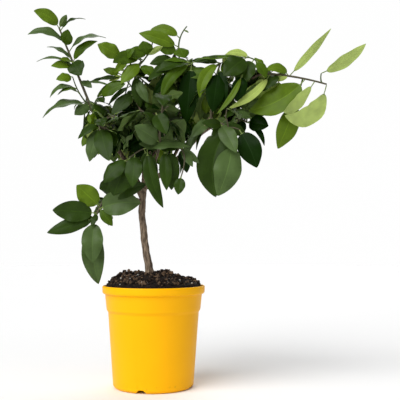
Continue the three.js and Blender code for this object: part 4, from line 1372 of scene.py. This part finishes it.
class MakeFoliage(bpy.types.Operator):
    """Grow every mass: its stem, its twigs and its leaves"""

    bl_idname = "lemon_tree.make_foliage"
    bl_label = "Twigs and leaves"

    def execute(self, context):
        limbs = limb_curves()
        clear = clear_spots(limbs)
        masses = [mass._replace(clear=clear) for mass in MASSES]
        grown = [(mass, grow_mass(mass, limbs[mass.bough])) for mass in masses]
        self.make_twigs(grown, context.scene.lemon_bark)
        leaf = context.scene.lemon_leaf
        materials = self.leaf_materials(leaf)
        batch, size, number = [], 0, 1
        for mass, twigs in grown:
            leaves = sum(len(twig.leaves) for twig in twigs)
            if size + leaves > LEAVES_PER_PIECE:
                self.make_leaves(f"leaves_{number}", batch, leaf, materials)
                batch, size, number = [], 0, number + 1
            batch.append((mass, twigs))
            size += leaves
        self.make_leaves(f"leaves_{number}", batch, leaf, materials)
        return {"FINISHED"}

    def leaf_materials(self, leaf):
        """Upper sides by tone, undersides, stalk, and midribs by tone."""
        tops, ribs = [], []
        for tone in TONES:
            base = getattr(leaf, tone)
            tops.append(leaf_finish(f"{tone}_leaf", base, LEAF_GLOSS, SHEENS.get(tone, SHEEN)))
            pale = shade(base, RIB_SHADE)
            ribs.append(leaf_finish(f"{tone}_leaf_rib", pale, RIB_GLOSS, SHEEN))
        return [
            *tops,
            leaf_finish("leaf_underside", leaf.under, 0.5, 0.25),
            leaf_finish("pale_leaf_underside", leaf.pale_under, 0.48, 0.3),
            twig_finish("leaf_stalk", leaf.stalk),
            *ribs,
        ]

    def make_twigs(self, grown, bark):
        joined = Joined()
        for mass, twigs in grown:
            for number, twig in enumerate(twigs):
                sides, steps = (7, 10) if number else (10, 18)
                green = 1 if number and mass.tone == "mid" else 0
                radius_at = taper(*twig.radii)
                rings = limb_rings(twig.curve, radius_at, sides, steps, relief=TWIG_RELIEF)
                joined.skin(rings, green)
        materials = [twig_finish("twig_bark", bark.twig), twig_finish("green_shoot", bark.shoot)]
        joined.piece("twigs", materials, [], crease=70)

    def make_leaves(self, name, masses, settings, materials):
        under, pale, stalk, rib = range(len(TONES), len(TONES) + 4)
        joined = Joined()
        for mass, twigs in masses:
            random = seeded_random(mass.seed + LEAF_SEED)
            for leaf in (leaf for twig in twigs for leaf in twig.leaves):
                tone = leaf.tone or TONE_MIX[mass.tone][int(random() * 4)]
                back = pale if tone in PALE_UNDER else under
                column = np.full(LEAF_SIDES, TONES.index(tone))
                column[len(TOP_COLUMNS) - 1:] = back
                column[TOP_RIB] = rib + TONES.index(tone)
                column[UNDER_RIB] = pale if back == pale else stalk
                marks = np.tile(column, (LEAF_ROWS - 1, 1))
                marks[:len(STALK_ROWS)] = stalk
                points, quads, start, end = loft(leaf_rings(leaf, settings.thickness / MM, random))
                points[-2:] = leaf.base, leaf.base + leaf.way
                faces = halved(quads), start, end
                joined.add(points, faces, (np.repeat(marks.ravel(), 2), stalk, column))
        joined.piece(name, materials, [mass.name for mass, _ in masses], crease=55)


class MakeStage(bpy.types.Operator):
    """Set the pale floor, the soft light and the camera"""

    bl_idname = "lemon_tree.make_stage"
    bl_label = "Stage"

    def execute(self, context):
        stage = context.scene.lemon_stage
        context.scene.view_settings.view_transform = "Standard"
        floor = Finish("floor", roughness=0.9)
        cloud = floor.noise(3, 2)
        floor.done(base_color=floor.mix(cloud, shade(stage.floor, 0.985), shade(stage.floor, 1.0)))
        self.round_piece("floor", ((6, -0.02), (6, -0.0006), (0.01, -0.0006)), floor.material)
        paper = Finish("backdrop", roughness=1, emission_strength=1)
        paper.done(base_color=(0, 0, 0), emission_color=stage.backdrop)
        dome = [(12 * math.cos(a), 12 * math.sin(a)) for a in np.linspace(-1.5, 1.5, 25)]
        backdrop = self.round_piece("backdrop", dome, paper.material)
        backdrop.visible_diffuse = backdrop.visible_glossy = backdrop.visible_shadow = False
        paper.material.cycles.emission_sampling = "NONE"
        world = context.scene.world or bpy.data.worlds.new("studio")
        context.scene.world = world
        world.use_nodes = True
        sky = world.node_tree.nodes["Background"]
        sky.inputs["Color"].default_value = (1, 1, 1, 1)
        sky.inputs["Strength"].default_value = stage.sky
        for name, way, spread in LIGHTS:
            self.light(context, name, way, spread, getattr(stage, name))
        camera = bpy.data.objects.new("camera", bpy.data.cameras.new("camera"))
        camera.data.lens = stage.lens
        camera.data.sensor_width = 36
        camera.location = CAMERA_PLACE
        camera.rotation_euler = (math.radians(CAMERA_PITCH), 0, 0)
        context.scene.collection.objects.link(camera)
        context.scene.camera = camera
        return {"FINISHED"}

    def round_piece(self, name, profile, material):
        """A stage piece turned about the upright, from a profile of radius and height."""
        angles = np.linspace(0, 2 * math.pi, 96, endpoint=False)
        rings = [[(r * math.cos(a), r * math.sin(a), z) for a in angles] for r, z in profile]
        points, quads, start, end = loft(rings)
        mesh = bpy.data.meshes.new(name)
        mesh.from_pydata(points.tolist(), [], quads.tolist() + start.tolist() + end.tolist())
        mesh.materials.append(material)
        made = bpy.data.objects.new(name, mesh)
        bpy.context.scene.collection.objects.link(made)
        return made

    def light(self, context, name, way, spread, strength):
        made = bpy.data.objects.new(name, bpy.data.lights.new(name, "SUN"))
        made.data.angle = math.radians(spread)
        made.data.energy = strength
        made.rotation_euler = Vector(way).to_track_quat("Z", "Y").to_euler()
        context.scene.collection.objects.link(made)


class LemonTreePanel(bpy.types.Panel):
    """The pieces of the lemon tree, each with its button"""

    bl_idname = "VIEW3D_PT_lemon_tree"
    bl_label = "Lemon tree"
    bl_space_type = "VIEW_3D"
    bl_region_type = "UI"
    bl_category = "Lemon tree"

    def draw(self, context):
        for operator in OPERATORS:
            self.layout.operator(operator.bl_idname)


SETTINGS = {
    "lemon_pot": PotSettings,
    "lemon_soil": SoilSettings,
    "lemon_bark": BarkSettings,
    "lemon_leaf": LeafSettings,
    "lemon_stage": StageSettings,
}
OPERATORS = (MakeStage, MakePot, MakeSoil, MakeTrunk, MakeBoughs, MakeFoliage)


def register():
    for group in (*SETTINGS.values(), *OPERATORS, LemonTreePanel):
        bpy.utils.register_class(group)
    for name, group in SETTINGS.items():
        setattr(bpy.types.Scene, name, PointerProperty(type=group))


def unregister():
    for name in SETTINGS:
        delattr(bpy.types.Scene, name)
    for group in (LemonTreePanel, *OPERATORS, *SETTINGS.values()):
        bpy.utils.unregister_class(group)


def main():
    register()
    for operator in OPERATORS:
        getattr(bpy.ops.lemon_tree, operator.bl_idname.split(".")[1])()


if __name__ == "__main__":
    main()
